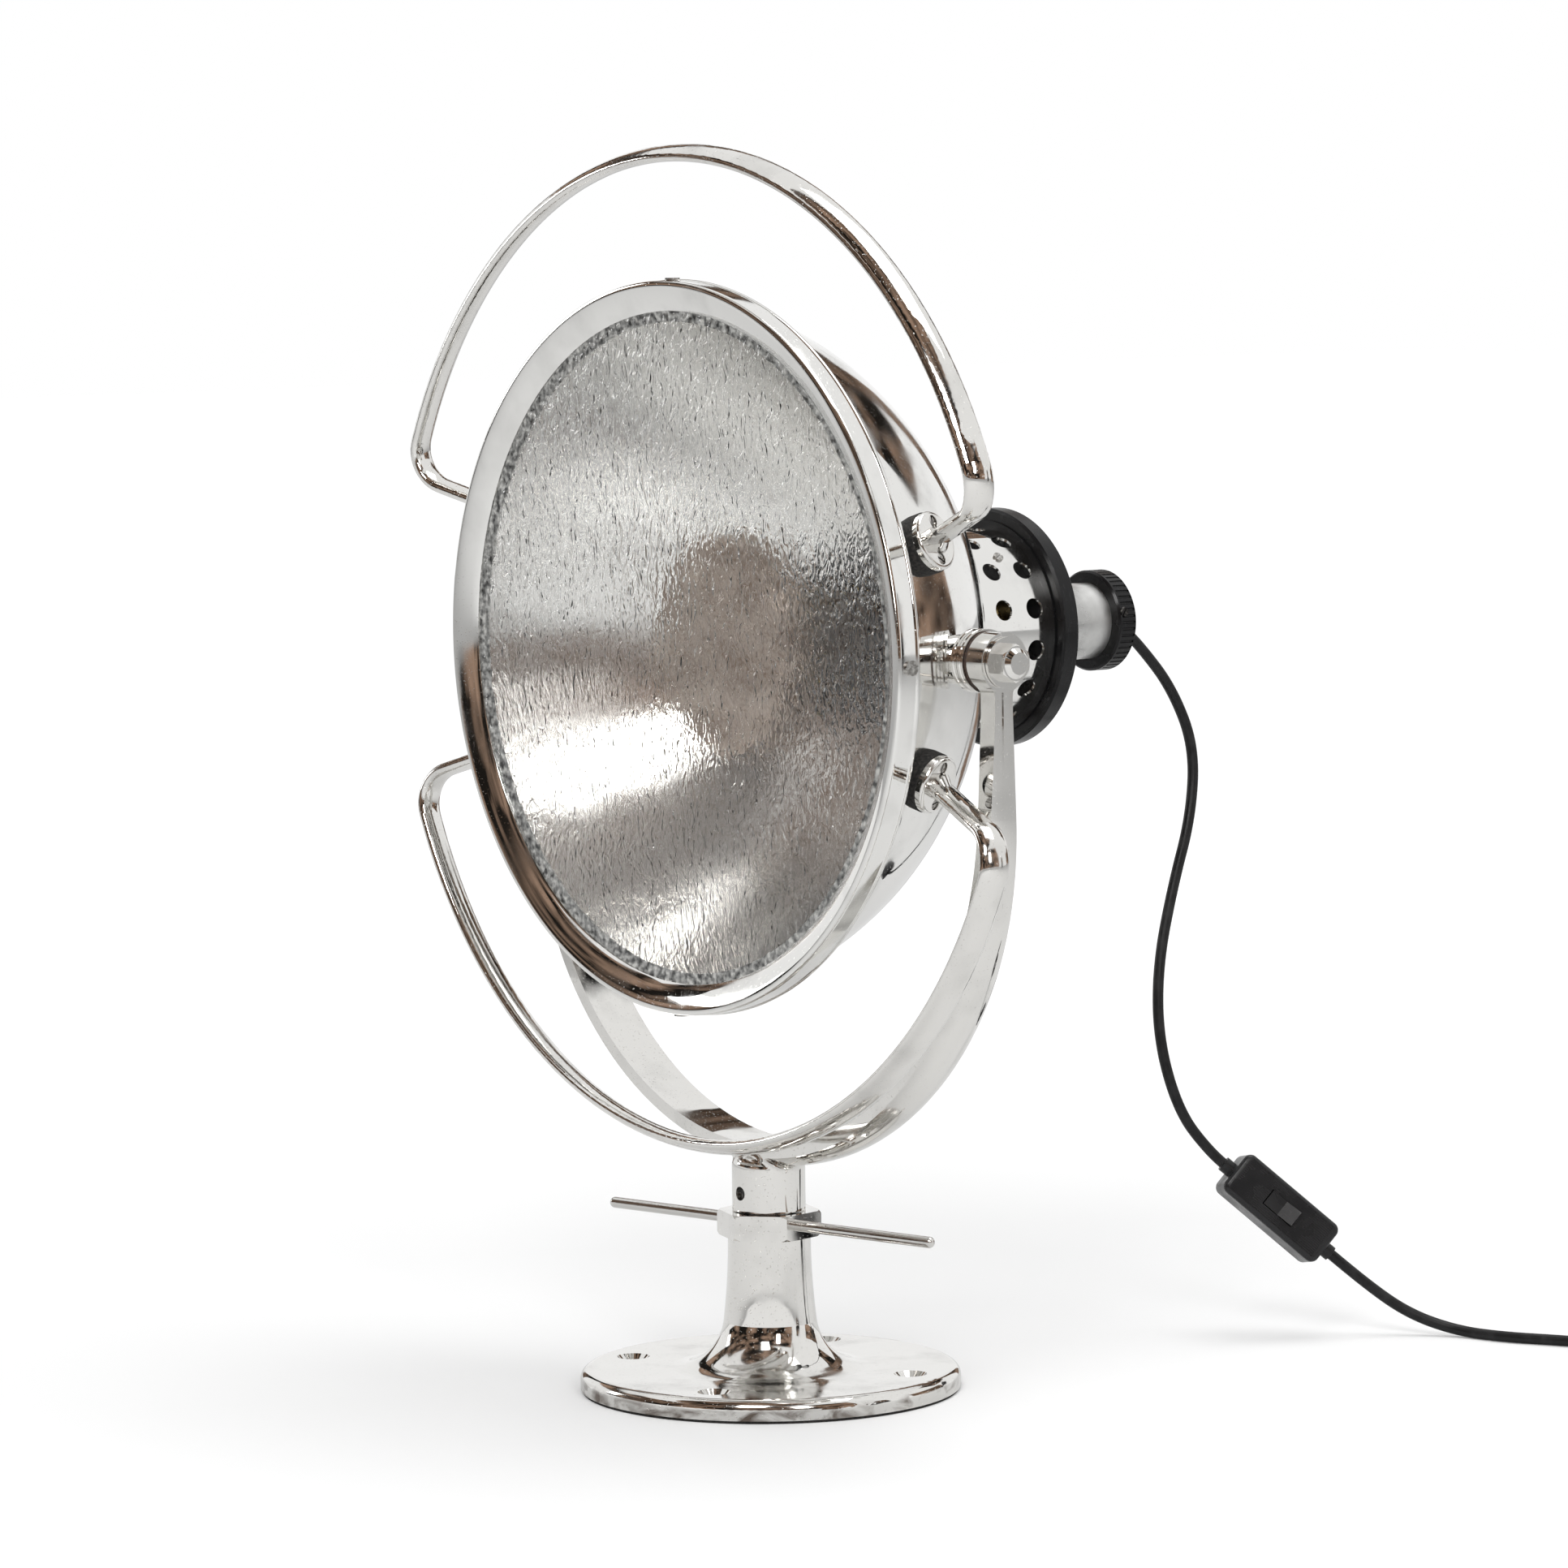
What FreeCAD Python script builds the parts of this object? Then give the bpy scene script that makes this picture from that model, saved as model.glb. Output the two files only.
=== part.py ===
import FreeCAD, Part

import math
import os
from types import SimpleNamespace

import Sketcher
from FreeCAD import Placement, Rotation, Vector

# Tabletop searchlight lamp: a bowl-shaped head on a cast yoke that swivels on a round pedestal.
# Millimetres. Z is up, the beam leaves along -Y, the origin is under the pedestal's centre.
# The head's pieces are measured along the beam axis from the tilt pivot, forward negative.

SIZES = {
    # Pedestal and its pad
    "pad_thickness": 1.7,
    "pad_inset": 1.2,
    "base_radius": 109.0,
    "base_thickness": 11.5,
    "base_rim_round": 6.0,
    "bolt_circle_radius": 85.5,
    "bolt_hole_radius": 4.0,
    "countersink_radius": 9.5,
    "bolt_count": 4,
    "bolt_turn": 30.0,
    "column_radius": 23.7,
    "column_height": 88.5,
    "column_curve": 400.0,
    "column_flare": 30.0,
    "neck_radius": 20.0,
    "neck_height": 7.5,
    "bore_depth": 68.0,
    # Swivel spindle, clamp ring and nut
    "spindle_radius": 15.0,
    "run_clearance": 0.05,
    "body_gap": 0.3,
    "clamp_ring_height": 4.0,
    "clamp_ring_taper": 2.0,
    "clamp_ring_slit": 2.0,
    "nut_flats": 52.5,
    "nut_height": 14.5,
    "nut_turn": 11.3,
    "nut_chamfer": 1.6,
    "tommy_radius": 3.25,
    "tommy_reach": 121.0,
    "tommy_seat": 5.0,
    "tommy_count": 2,
    "spindle_chamfer": 1.0,
    # Yoke
    "stem_radius": 21.0,
    "stem_length": 26.1,
    "stem_sink": 7.9,
    "stem_socket": 26.0,
    "stem_shoulder": 9.0,
    "stem_blend": 5.0,
    "set_screw_radius": 4.0,
    "set_screw_rise": 10.7,
    "set_screw_recess": 2.2,
    "yoke_reach": 6.0,
    "yoke_drop": 86.0,
    "yoke_thickness": 13.0,
    "yoke_crown": 5.5,
    "yoke_width": 29.6,
    "arm_width": 12.5,
    "arm_taper_start": 28.0,
    "arm_taper_end": 205.0,
    "eye_radius": 16.4,
    "eye_blend": 6.0,
    # Tilt pivot, from the bowl outwards
    "bolt_radius": 6.0,
    "boss_radius": 14.0,
    "boss_length": 20.0,
    "tilt_ring_radius": 17.5,
    "tilt_ring_width": 4.85,
    "tilt_ring_groove": 1.2,
    "fibre_thickness": 1.7,
    "fibre_inset": 1.0,
    "washer_radius": 14.0,
    "washer_thickness": 2.0,
    "bolt_flats": 18.5,
    "bolt_hex_length": 7.6,
    "bolt_crown_radius": 8.5,
    "bolt_crown_length": 2.4,
    "bolt_chamfer": 1.2,
    "backing_radius": 12.0,
    "pivot_nut_flats": 18.0,
    "pivot_nut_length": 6.0,
    # Bezel, glass and gasket
    "bezel_radius": 206.0,
    "bezel_wall": 2.2,
    "bezel_front": -69.4,
    "bezel_back": -54.5,
    "bezel_edge": 2.0,
    "bezel_back_lip": 1.5,
    "bezel_slope": 6.8,
    "lip_thickness": 1.2,
    "bezel_face": 17.0,
    "glass_inset": 8.0,
    "glass_thickness": 3.5,
    "gasket_width": 15.0,
    "bezel_screw_radius": 4.2,
    "bezel_screw_rise": 1.5,
    "bezel_screw_shank": 2.0,
    "bezel_screw_place": -61.0,
    "bezel_screw_slot": 1.1,
    "bezel_screw_count": 4,
    # Reflector and bowl
    "reflector_focus": 55.975,
    "reflector_apex": 101.2,
    "reflector_shift": 2.0,
    "reflector_opening": 62.0,
    "reflector_flange": 1.0,
    "reflector_steps": 6,
    "bowl_step": 9.4,
    "bowl_wall": 2.0,
    "bowl_front_arc": 168.0,
    "bowl_rear_arc": 247.0,
    "bowl_shoulder": 26.0,
    "bowl_shoulder_slope": 39.7,
    # Vent collar, rear cap and bush
    "collar_radius": 58.0,
    "collar_wall": 1.5,
    "collar_front": 95.0,
    "collar_back": 164.5,
    "vent_radius": 6.0,
    "vent_count": 15,
    "vent_first_row": 132.0,
    "vent_row_pitch": 23.0,
    "vent_turn": 14.3,
    "cap_radius": 69.6,
    "cap_thickness": 13.5,
    "cap_step": 1.2,
    "cap_step_radius": 62.9,
    "cap_chamfer": 1.5,
    "cap_spigot": 3.0,
    "hub_radius": 31.0,
    "hub_rise": 3.0,
    "bush_wall": 3.5,
    "bush_front": 155.0,
    # Focus slide
    "tube_radius": 22.5,
    "tube_wall": 2.0,
    "tube_front": 120.0,
    "knob_radius": 29.7,
    "knob_front": 243.5,
    "knob_width": 13.8,
    "knob_round": 1.2,
    "knob_groove_radius": 0.85,
    "knob_groove_count": 48,
    "knob_floor": 3.0,
    "grip_radius": 8.0,
    "grip_rise": 5.0,
    "grip_drop": 4.0,
    "holder_radius": 20.0,
    "holder_front": 82.0,
    "holder_flange": 2.0,
    "holder_spigot": 12.0,
    "socket_depth": 24.0,
    "bulb_face": -27.0,
    "bulb_face_radius": 61.0,
    "bulb_side_radius": 63.0,
    "bulb_side_length": 15.0,
    "bulb_edge": 2.0,
    "bulb_neck_radius": 19.0,
    "bulb_neck_front": 56.0,
    "bulb_neck_back": 78.0,
    "bulb_base_radius": 13.3,
    # Guards and their feet
    "guard_upper_reach": 71.0,
    "guard_upper_plane": -55.0,
    "guard_lower_reach": 76.0,
    "guard_lower_plane": -50.0,
    "guard_half_depth": 8.5,
    "guard_half_height": 4.2,
    "guard_turn_start": 24.0,
    "guard_tail": 25.0,
    "guard_bend": 23.0,
    "foot_plane": -29.7,
    "foot_turn": 19.4,
    "foot_tilt": 17.0,
    "foot_radius": 16.5,
    "foot_thickness": 5.0,
    "foot_round": 2.0,
    "foot_root_radius": 8.6,
    "foot_root_length": 13.0,
    "foot_gasket_radius": 17.0,
    "foot_gasket_thickness": 6.0,
    "foot_screw_radius": 3.5,
    "foot_screw_pitch": 21.0,
    "foot_screw_recess": 3.0,
    # Cord, inline switch and plug
    "cord_radius": 3.25,
    "switch_length": 72.0,
    "switch_width": 28.0,
    "switch_depth": 26.0,
    "switch_round": 5.0,
    "switch_edge": 3.0,
    "switch_neck_radius": 4.6,
    "switch_neck_length": 6.0,
    "switch_groove_width": 0.55,
    "switch_groove_depth": 0.4,
    "switch_groove_count": 18,
    "switch_groove_field": 21.5,
    "rocker_length": 21.0,
    "rocker_width": 10.0,
    "rocker_rise": 2.5,
    "rocker_depth": 6.0,
    "rocker_belly": 1.0,
    "rocker_saddle": 0.4,
    "rocker_low_end": 0.8,
    "rocker_pin_radius": 1.2,
    "rocker_pin_length": 1.5,
    "rocker_pin_depth": 2.2,
    "coil_radius": 41.5,
    "coil_pitch": 7.0,
    "coil_layer": 7.0,
    "coil_turns_in": 5,
    "coil_turns_out": 4,
    "coil_tail": 37.0,
    "plug_length": 36.0,
    "plug_width": 24.0,
    "plug_thickness": 19.0,
    "plug_round": 4.0,
    "pin_radius": 2.0,
    "pin_length": 19.0,
    "pin_spacing": 19.0,
}


class Size:
    """A length or an angle together with the formula, in sheet names, that gives it."""

    def __init__(self, value, text):
        self.value = float(value)
        self.text = text

    def __add__(self, other):
        other = as_size(other)
        return Size(self.value + other.value, f"({self.text} + {other.text})")

    def __sub__(self, other):
        other = as_size(other)
        return Size(self.value - other.value, f"({self.text} - {other.text})")

    def __mul__(self, other):
        other = as_size(other)
        return Size(self.value * other.value, f"({self.text} * {other.text})")

    def __truediv__(self, other):
        other = as_size(other)
        return Size(self.value / other.value, f"({self.text} / {other.text})")

    def __neg__(self):
        return Size(-self.value, f"(0 - {self.text})")


def as_size(value):
    return value if isinstance(value, Size) else Size(value, f"{float(value):.9g}")


def root(size):
    return Size(math.sqrt(size.value), f"sqrt({size.text})")


def sine(size):
    return Size(math.sin(math.radians(size.value)), f"sin({size.text})")


def cosine(size):
    return Size(math.cos(math.radians(size.value)), f"cos({size.text})")


doc = FreeCAD.newDocument("searchlight_lamp")
sheet = doc.addObject("Spreadsheet::Sheet", "Sizes")
for row, (alias, number) in enumerate(SIZES.items(), start=1):
    sheet.set(f"A{row}", alias)
    sheet.set(f"B{row}", str(number))
    sheet.setAlias(f"B{row}", alias)
doc.recompute()
size = SimpleNamespace(**{alias: Size(number, f"Sizes.{alias}") for alias, number in SIZES.items()})
PARTS = []


def bind(thing, name, value):
    """Give a property its number, and its formula where it has one."""
    value = as_size(value)
    setattr(thing, name, value.value)
    if "Sizes." in value.text:
        thing.setExpression(name, value.text)


def new_body(label, height=None, turn=None, turn_axis=Vector(0, 0, 1)):
    """Start a sub-part; its origin is lifted by height and turned about turn_axis."""
    body = doc.addObject("PartDesign::Body", label)
    body.Label = label
    body.Placement = Placement(Vector(), Rotation(turn_axis, turn.value if turn else 0.0))
    if turn and "Sizes." in turn.text:
        body.setExpression("Placement.Rotation.Angle", turn.text)
    if height is not None:
        body.setExpression("Placement.Base.z", height.text)
    PARTS.append(body)
    return body


def origin_plane(body, role):
    return next(feature for feature in body.Origin.OriginFeatures if feature.Role == role)


def new_sketch(body, name, role, offset=None):
    """Attach a sketch to one of the body's own planes, at an offset along its normal."""
    sketch = body.newObject("Sketcher::SketchObject", name)
    sketch.AttachmentSupport = [(origin_plane(body, role), "")]
    sketch.MapMode = "FlatFace"
    if offset is not None:
        sketch.AttachmentOffset = Placement(Vector(0, 0, offset.value), Rotation())
        sketch.setExpression("AttachmentOffset.Base.z", offset.text)
    return sketch


def constrain(sketch, rules):
    """Add constraints given as (constraint arguments, size or None) and bind the sizes."""
    for arguments, amount in rules:
        if amount is None:
            sketch.addConstraint(Sketcher.Constraint(*arguments))
            continue
        index = sketch.addConstraint(Sketcher.Constraint(*arguments, amount.value))
        if "Sizes." in amount.text:
            sketch.setExpression(f"Constraints[{index}]", amount.text)


def arc_between(start, end, radius):
    """The arc from start to end: anticlockwise for a positive radius, else clockwise."""
    chord = end - start
    middle = start + chord * 0.5
    rise = math.sqrt(max(radius * radius - chord.Length**2 / 4, 0.0))
    side = Vector(-chord.y, chord.x, 0).normalize() * (rise if radius > 0 else -rise)
    centre = middle + side
    first, last = (start, end) if radius > 0 else (end, start)
    circle = Part.Circle(centre, Vector(0, 0, 1), abs(radius))
    begin = math.atan2(first.y - centre.y, first.x - centre.x)
    finish = math.atan2(last.y - centre.y, last.x - centre.x)
    return Part.ArcOfCircle(circle, begin, finish if finish > begin else finish + 2 * math.pi)


def outline(sketch, corners, closed=True):
    """Draw a profile through corners (across, up), or (across, up, radius) to arrive by an arc."""
    corners = [tuple(as_size(number) for number in corner) for corner in corners]
    points = [Vector(corner[0].value, corner[1].value, 0) for corner in corners]
    first = 0 if closed else 1
    ends = []
    rules = []
    for place in range(first, len(corners)):
        corner = corners[place]
        start, end = points[place - 1], points[place]
        if len(corner) == 3:
            edge = sketch.addGeometry(arc_between(start, end, corner[2].value))
            backwards = corner[2].value < 0
            rules.append((("Radius", edge), -corner[2] if backwards else corner[2]))
        else:
            edge = sketch.addGeometry(Part.LineSegment(start, end))
            backwards = False
        ends.append((edge, 2 if backwards else 1, 1 if backwards else 2))
        rules.append((("DistanceX", edge, ends[-1][2]), corner[0]))
        rules.append((("DistanceY", edge, ends[-1][2]), corner[1]))
    for this, after in zip(ends, ends[1:] + ends[:1] if closed else ends[1:]):
        rules.append((("Coincident", this[0], this[2], after[0], after[1]), None))
    if not closed:
        rules.append((("DistanceX", ends[0][0], ends[0][1]), corners[0][0]))
        rules.append((("DistanceY", ends[0][0], ends[0][1]), corners[0][1]))
    constrain(sketch, rules)


def round_hole(sketch, across, up, radius):
    across, up, radius = as_size(across), as_size(up), as_size(radius)
    circle = Part.Circle(Vector(across.value, up.value, 0), Vector(0, 0, 1), radius.value)
    edge = sketch.addGeometry(circle)
    rules = [(("DistanceX", edge, 3), across), (("DistanceY", edge, 3), up), (("Radius", edge), radius)]
    constrain(sketch, rules)


def hexagon(sketch, flats):
    """A hexagon about the sketch's origin with a flat side towards its across direction."""
    half = flats / 2
    corner = flats / math.sqrt(3)
    side = corner / 2
    outline(sketch, [(half, side), (0, corner), (-half, side), (-half, -side), (0, -corner), (half, -side)])


def pad(body, sketch, length, middle=False):
    feature = body.newObject("PartDesign::Pad", f"{body.Name}_pad_{len(body.Group)}")
    feature.Profile = sketch
    bind(feature, "Length", length)
    feature.SideType = "Symmetric" if middle else "One side"
    return feature


def pocket(body, sketch, length=None, reverse=False, both=False):
    """Cut the sketch away, to a length or right through; a cut that removes nothing is an error."""
    before = tip_volume(body)
    feature = body.newObject("PartDesign::Pocket", f"{body.Name}_pocket_{len(body.Group)}")
    feature.Profile = sketch
    if length is None:
        feature.Type = "ThroughAll"
    else:
        bind(feature, "Length", length)
    feature.Reversed = reverse
    feature.SideType = "Symmetric" if both else "One side"
    doc.recompute()
    if feature.Shape.isNull() or feature.Shape.Volume > before - 0.01:
        raise RuntimeError(f"{feature.Name} removes nothing")
    return feature


def tip_volume(body):
    doc.recompute()
    return body.Shape.Volume


def on_level(edge, level):
    """Whether an edge lies at one height in its body's own frame."""
    return all(abs(vertex.Point.z - level) < 0.01 for vertex in edge.Vertexes)


def round_edges(body, radius, wanted):
    """Fillet the edges that the test picks from the body's present shape."""
    doc.recompute()
    last = body.Tip
    names = [f"Edge{number}" for number, edge in enumerate(last.Shape.Edges, start=1) if wanted(edge)]
    feature = body.newObject("PartDesign::Fillet", f"{body.Name}_round_{len(body.Group)}")
    feature.Base = (last, names)
    bind(feature, "Radius", radius)
    doc.recompute()
    return feature


def around(body, feature, axis, count):
    """Repeat a feature evenly about one of the body's own axes."""
    pattern = body.newObject("PartDesign::PolarPattern", f"{body.Name}_ring_{len(body.Group)}")
    pattern.Originals = [feature]
    pattern.Axis = (origin_plane(body, axis), [""])
    pattern.Angle = 360
    pattern.Occurrences = int(count.value)
    pattern.setExpression("Occurrences", count.text)
    body.Tip = pattern
    doc.recompute()
    return pattern


def in_a_row(body, feature, axis, field, count):
    """Repeat a feature evenly over a length along one of the body's own axes."""
    pattern = body.newObject("PartDesign::LinearPattern", f"{body.Name}_row_{len(body.Group)}")
    pattern.Originals = [feature]
    pattern.Direction = (origin_plane(body, axis), [""])
    bind(pattern, "Length", field)
    pattern.Occurrences = int(count.value)
    pattern.setExpression("Occurrences", count.text)
    body.Tip = pattern
    doc.recompute()
    return pattern


def turned(label, axis, corners, height=None, turn=None, turn_axis=Vector(0, 0, 1)):
    """A piece turned on a lathe: corners are (radius, along) for Z and Y, (along, radius) for X."""
    body = new_body(label, height, turn, turn_axis)
    return spin(body, axis, corners)


def spin(body, axis, corners, cut=False):
    """Turn a profile about one of the body's own axes, to add metal or to cut it away."""
    plane = "XZ_Plane" if axis == "Z" else "XY_Plane"
    sketch = new_sketch(body, f"{body.Name}_profile_{len(body.Group)}", plane)
    outline(sketch, corners)
    kind = "Groove" if cut else "Revolution"
    feature = body.newObject(f"PartDesign::{kind}", f"{body.Name}_{kind}_{len(body.Group)}")
    feature.Profile = sketch
    feature.ReferenceAxis = (sketch, ["H_Axis" if axis == "X" else "V_Axis"])
    feature.Angle = 360
    return body


def washer(label, start, thickness, outer, inner, turn=None):
    """A flat ring about the pivot axis, on the +X side or turned to the other."""
    end = start + thickness
    corners = [(start, inner), (end, inner), (end, outer), (start, outer)]
    return turned(label, "X", corners, pivot_height, turn)


# Heights and radii that several pieces share
disc_top = size.pad_thickness + size.base_thickness
neck_top = size.column_height + size.neck_height
clamp_top = neck_top + size.clamp_ring_height
nut_bottom = size.column_height + size.body_gap
nut_top = nut_bottom + size.nut_height
stem_bottom = nut_top + size.body_gap * 2
spindle_bottom = size.column_height - size.bore_depth + size.body_gap * 2
socket_top = stem_bottom + size.stem_socket
bore_radius = size.spindle_radius + size.run_clearance
yoke_radius = size.bezel_radius + size.yoke_reach
yoke_bottom = stem_bottom + size.stem_length
pivot_height = yoke_bottom + yoke_radius + size.yoke_drop
glass_opening = size.bezel_radius - size.bezel_face
glass_radius = size.bezel_radius - size.glass_inset
rocker_axis = size.switch_depth / 2 - size.rocker_pin_depth


def make_base():
    """Fibre pad and pedestal: a disc on four countersunk bolts that flares into a bored column."""
    pad_radius = size.base_radius - size.pad_inset
    top = size.pad_thickness
    pad_body = turned("base_pad", "Z", [(0, 0), (pad_radius, 0), (pad_radius, top), (0, top)])
    cut_bolt_holes(pad_body, size.pad_thickness, False)

    # The flare's arc runs on smoothly into the column's long hollow curve
    curve_centre = size.column_radius + size.column_curve
    flare_level = disc_top + size.column_flare
    rise = size.column_height - flare_level
    step = size.column_curve - size.column_flare
    flare_end = curve_centre - root(step * step - rise * rise)
    meet = flare_end + (flare_end - curve_centre) * size.column_flare / step
    meet_level = flare_level - rise * size.column_flare / step
    floor = size.column_height - size.bore_depth
    rim = size.base_radius - size.base_rim_round
    corners = [
        (0, size.pad_thickness),
        (size.base_radius, size.pad_thickness),
        (size.base_radius, disc_top - size.base_rim_round),
        (rim, disc_top, size.base_rim_round),
        (flare_end, disc_top),
        (meet, meet_level, -size.column_flare),
        (size.column_radius, size.column_height, -size.column_curve),
        (size.neck_radius, size.column_height),
        (size.neck_radius, neck_top),
        (bore_radius, neck_top),
        (bore_radius, floor),
        (0, floor),
    ]
    pedestal = turned("base_pedestal", "Z", corners)
    cut_bolt_holes(pedestal, disc_top, True)


def cut_bolt_holes(body, top, sunk):
    """Four holes on the bolt circle, sunk from the top face where the pedestal takes screw heads."""
    doc.recompute()
    sketch = new_sketch(body, f"{body.Name}_hole", "XY_Plane")
    across = size.bolt_circle_radius * cosine(size.bolt_turn)
    up = size.bolt_circle_radius * sine(size.bolt_turn)
    round_hole(sketch, across, up, size.bolt_hole_radius)
    hole = pocket(body, sketch, reverse=True)
    around(body, hole, "Z_Axis", size.bolt_count)
    if not sunk:
        return
    mouth = new_sketch(body, f"{body.Name}_sink", "XY_Plane", top)
    round_hole(mouth, across, up, size.countersink_radius)
    depth = size.countersink_radius - size.bolt_hole_radius
    cone = body.newObject("PartDesign::Pocket", f"{body.Name}_cone")
    cone.Profile = mouth
    bind(cone, "Length", depth)
    cone.TaperAngle = -45
    around(body, cone, "Z_Axis", size.bolt_count)


def make_clamp():
    """Split ring that grips the spindle, the hexagon nut that closes it and the nut's two bars."""
    lower = size.neck_radius - size.run_clearance
    ring = turned(
        "clamp_ring",
        "Z",
        [
            (bore_radius, neck_top),
            (lower, neck_top),
            (lower - size.clamp_ring_taper, clamp_top),
            (bore_radius, clamp_top),
        ],
    )
    slit = new_sketch(ring, "clamp_ring_slit", "XY_Plane", neck_top)
    half = size.clamp_ring_slit / 2
    outline(slit, [(0, -half), (size.neck_radius, -half), (size.neck_radius, half), (0, half)])
    pocket(ring, slit, reverse=True)

    nut = new_body("clamp_nut", turn=size.nut_turn)
    sketch = new_sketch(nut, "clamp_nut_hexagon", "XY_Plane", nut_bottom)
    hexagon(sketch, size.nut_flats)
    pad(nut, sketch, size.nut_height)
    corner = size.nut_flats / math.sqrt(3)
    far = corner + size.nut_chamfer
    for face, inward in ((nut_top, size.nut_chamfer), (nut_bottom, -size.nut_chamfer)):
        spin(nut, "Z", [(corner - size.nut_chamfer, face), (far, face), (far, face - inward * 2)], cut=True)
    seat = size.neck_radius + size.run_clearance
    lip = size.spindle_radius + size.body_gap
    roof = clamp_top + size.body_gap
    cavity = [(0, nut_bottom), (seat, nut_bottom), (seat, roof), (lip, roof), (lip, nut_top), (0, nut_top)]
    spin(nut, "Z", cavity, cut=True)
    doc.recompute()
    start = size.nut_flats / 2 - size.tommy_seat
    hole = new_sketch(nut, "clamp_nut_bar_hole", "YZ_Plane", start)
    middle = nut_bottom + size.nut_height / 2
    round_hole(hole, 0, middle, size.tommy_radius)
    around(nut, pocket(nut, hole, length=size.nut_flats, reverse=True), "Z_Axis", size.tommy_count)

    radius = size.tommy_radius
    ball = size.tommy_reach - radius
    for number in range(SIZES["tommy_count"]):
        corners = [(start, 0), (size.tommy_reach, 0), (ball, radius, radius), (start, radius)]
        turn = size.nut_turn + as_size(360 * number) / size.tommy_count
        turned(f"tommy_bar_{number + 1}", "X", corners, middle, turn)


def make_yoke():
    """One casting: crowned U band whose arms narrow towards the pivot eyes, and a bored stem."""
    body = new_body("yoke")
    centre = pivot_height - size.yoke_drop
    middle = yoke_radius - size.yoke_thickness / 2
    arm_top = pivot_height - size.bolt_radius
    spine = new_sketch(body, "yoke_spine", "XZ_Plane")
    lowest = centre - middle
    bend = [(middle, centre), (0, lowest, -middle), (-middle, centre, -middle)]
    outline(spine, [(middle, arm_top), *bend, (-middle, arm_top)], closed=False)
    section = new_sketch(body, "yoke_section", "XY_Plane", arm_top)
    inner = yoke_radius - size.yoke_thickness
    edge = yoke_radius - size.yoke_crown
    half = size.yoke_width / 2
    crown = (half * half + size.yoke_crown * size.yoke_crown) / (size.yoke_crown * 2)
    outline(section, [(inner, -half), (edge, -half), (edge, half, crown), (inner, half)])
    band = body.newObject("PartDesign::AdditivePipe", "yoke_band")
    band.Profile = section
    band.Spine = (spine, [])
    doc.recompute()

    arm = size.arm_width / 2
    start = pivot_height - size.arm_taper_start
    end = pivot_height - size.arm_taper_end
    above = pivot_height + size.eye_radius * 2
    far = size.yoke_width
    taper = new_sketch(body, "yoke_taper", "YZ_Plane")
    for side in (1, -1):
        corners = [(arm, above), (arm, start), (half, end), (half, 0), (far, 0), (far, above)]
        outline(taper, [(across * side, up) for across, up in corners])
    pocket(body, taper, both=True)

    for side, offset in (("right", inner), ("left", -yoke_radius)):
        eye = new_sketch(body, f"yoke_eye_{side}", "YZ_Plane", offset)
        round_hole(eye, 0, pivot_height, size.eye_radius)
        pad(body, eye, size.yoke_thickness)
    shoulder = yoke_bottom + size.stem_sink - size.stem_shoulder
    neck = size.stem_radius - size.stem_shoulder
    spin(
        body,
        "Z",
        [
            (0, stem_bottom),
            (size.stem_radius, stem_bottom),
            (size.stem_radius, shoulder),
            (neck, shoulder + size.stem_shoulder, size.stem_shoulder),
            (0, shoulder + size.stem_shoulder),
        ],
    )
    doc.recompute()
    blend_yoke(body)
    bolt_hole = new_sketch(body, "yoke_bolt_hole", "YZ_Plane")
    round_hole(bolt_hole, 0, pivot_height, size.bolt_radius + size.run_clearance)
    pocket(body, bolt_hole, both=True)
    socket = new_sketch(body, "yoke_socket", "XY_Plane", stem_bottom)
    round_hole(socket, 0, 0, bore_radius)
    pocket(body, socket, length=size.stem_socket, reverse=True)
    screw_hole = new_sketch(body, "yoke_screw_hole", "XZ_Plane")
    round_hole(screw_hole, 0, stem_bottom + size.set_screw_rise, size.set_screw_radius)
    pocket(body, screw_hole, length=size.stem_radius * 2, reverse=True)

    turned(
        "swivel_spindle",
        "Z",
        [
            (0, spindle_bottom),
            (size.spindle_radius - size.spindle_chamfer, spindle_bottom),
            (size.spindle_radius, spindle_bottom + size.spindle_chamfer),
            (size.spindle_radius, socket_top),
            (0, socket_top),
        ],
    )
    tip = size.spindle_radius
    tail = size.stem_radius - size.set_screw_recess
    screw_radius = size.set_screw_radius - size.run_clearance
    cone = size.spindle_chamfer
    turned(
        "stem_set_screw",
        "X",
        [(tip, 0), (tail, 0), (tail, screw_radius), (tip + cone, screw_radius), (tip, screw_radius - cone)],
        stem_bottom + size.set_screw_rise,
        as_size(-90),
    )


def blend_yoke(body):
    """Cast fillets where the stem runs into the band and where the arms run into the eyes."""
    top = yoke_bottom.value + size.stem_sink.value

    def meets_stem(edge):
        points = edge.discretize(5)
        inside = all(math.hypot(point.x, point.y) < size.stem_radius.value for point in points)
        return inside and all(yoke_bottom.value < point.z < top for point in points)

    def meets_eye(edge):
        points = edge.discretize(3)
        arm = size.arm_width.value / 2
        beside = all(abs(abs(point.y) - arm) < 0.05 for point in points)
        inner = eye_inner.value - 0.1
        level = pivot_height.value - math.sqrt(size.eye_radius.value**2 - arm**2)
        return beside and all(abs(point.z - level) < 0.1 and abs(point.x) > inner for point in points)

    round_edges(body, size.stem_blend, meets_stem)
    round_edges(body, size.eye_blend, meets_eye)


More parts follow.
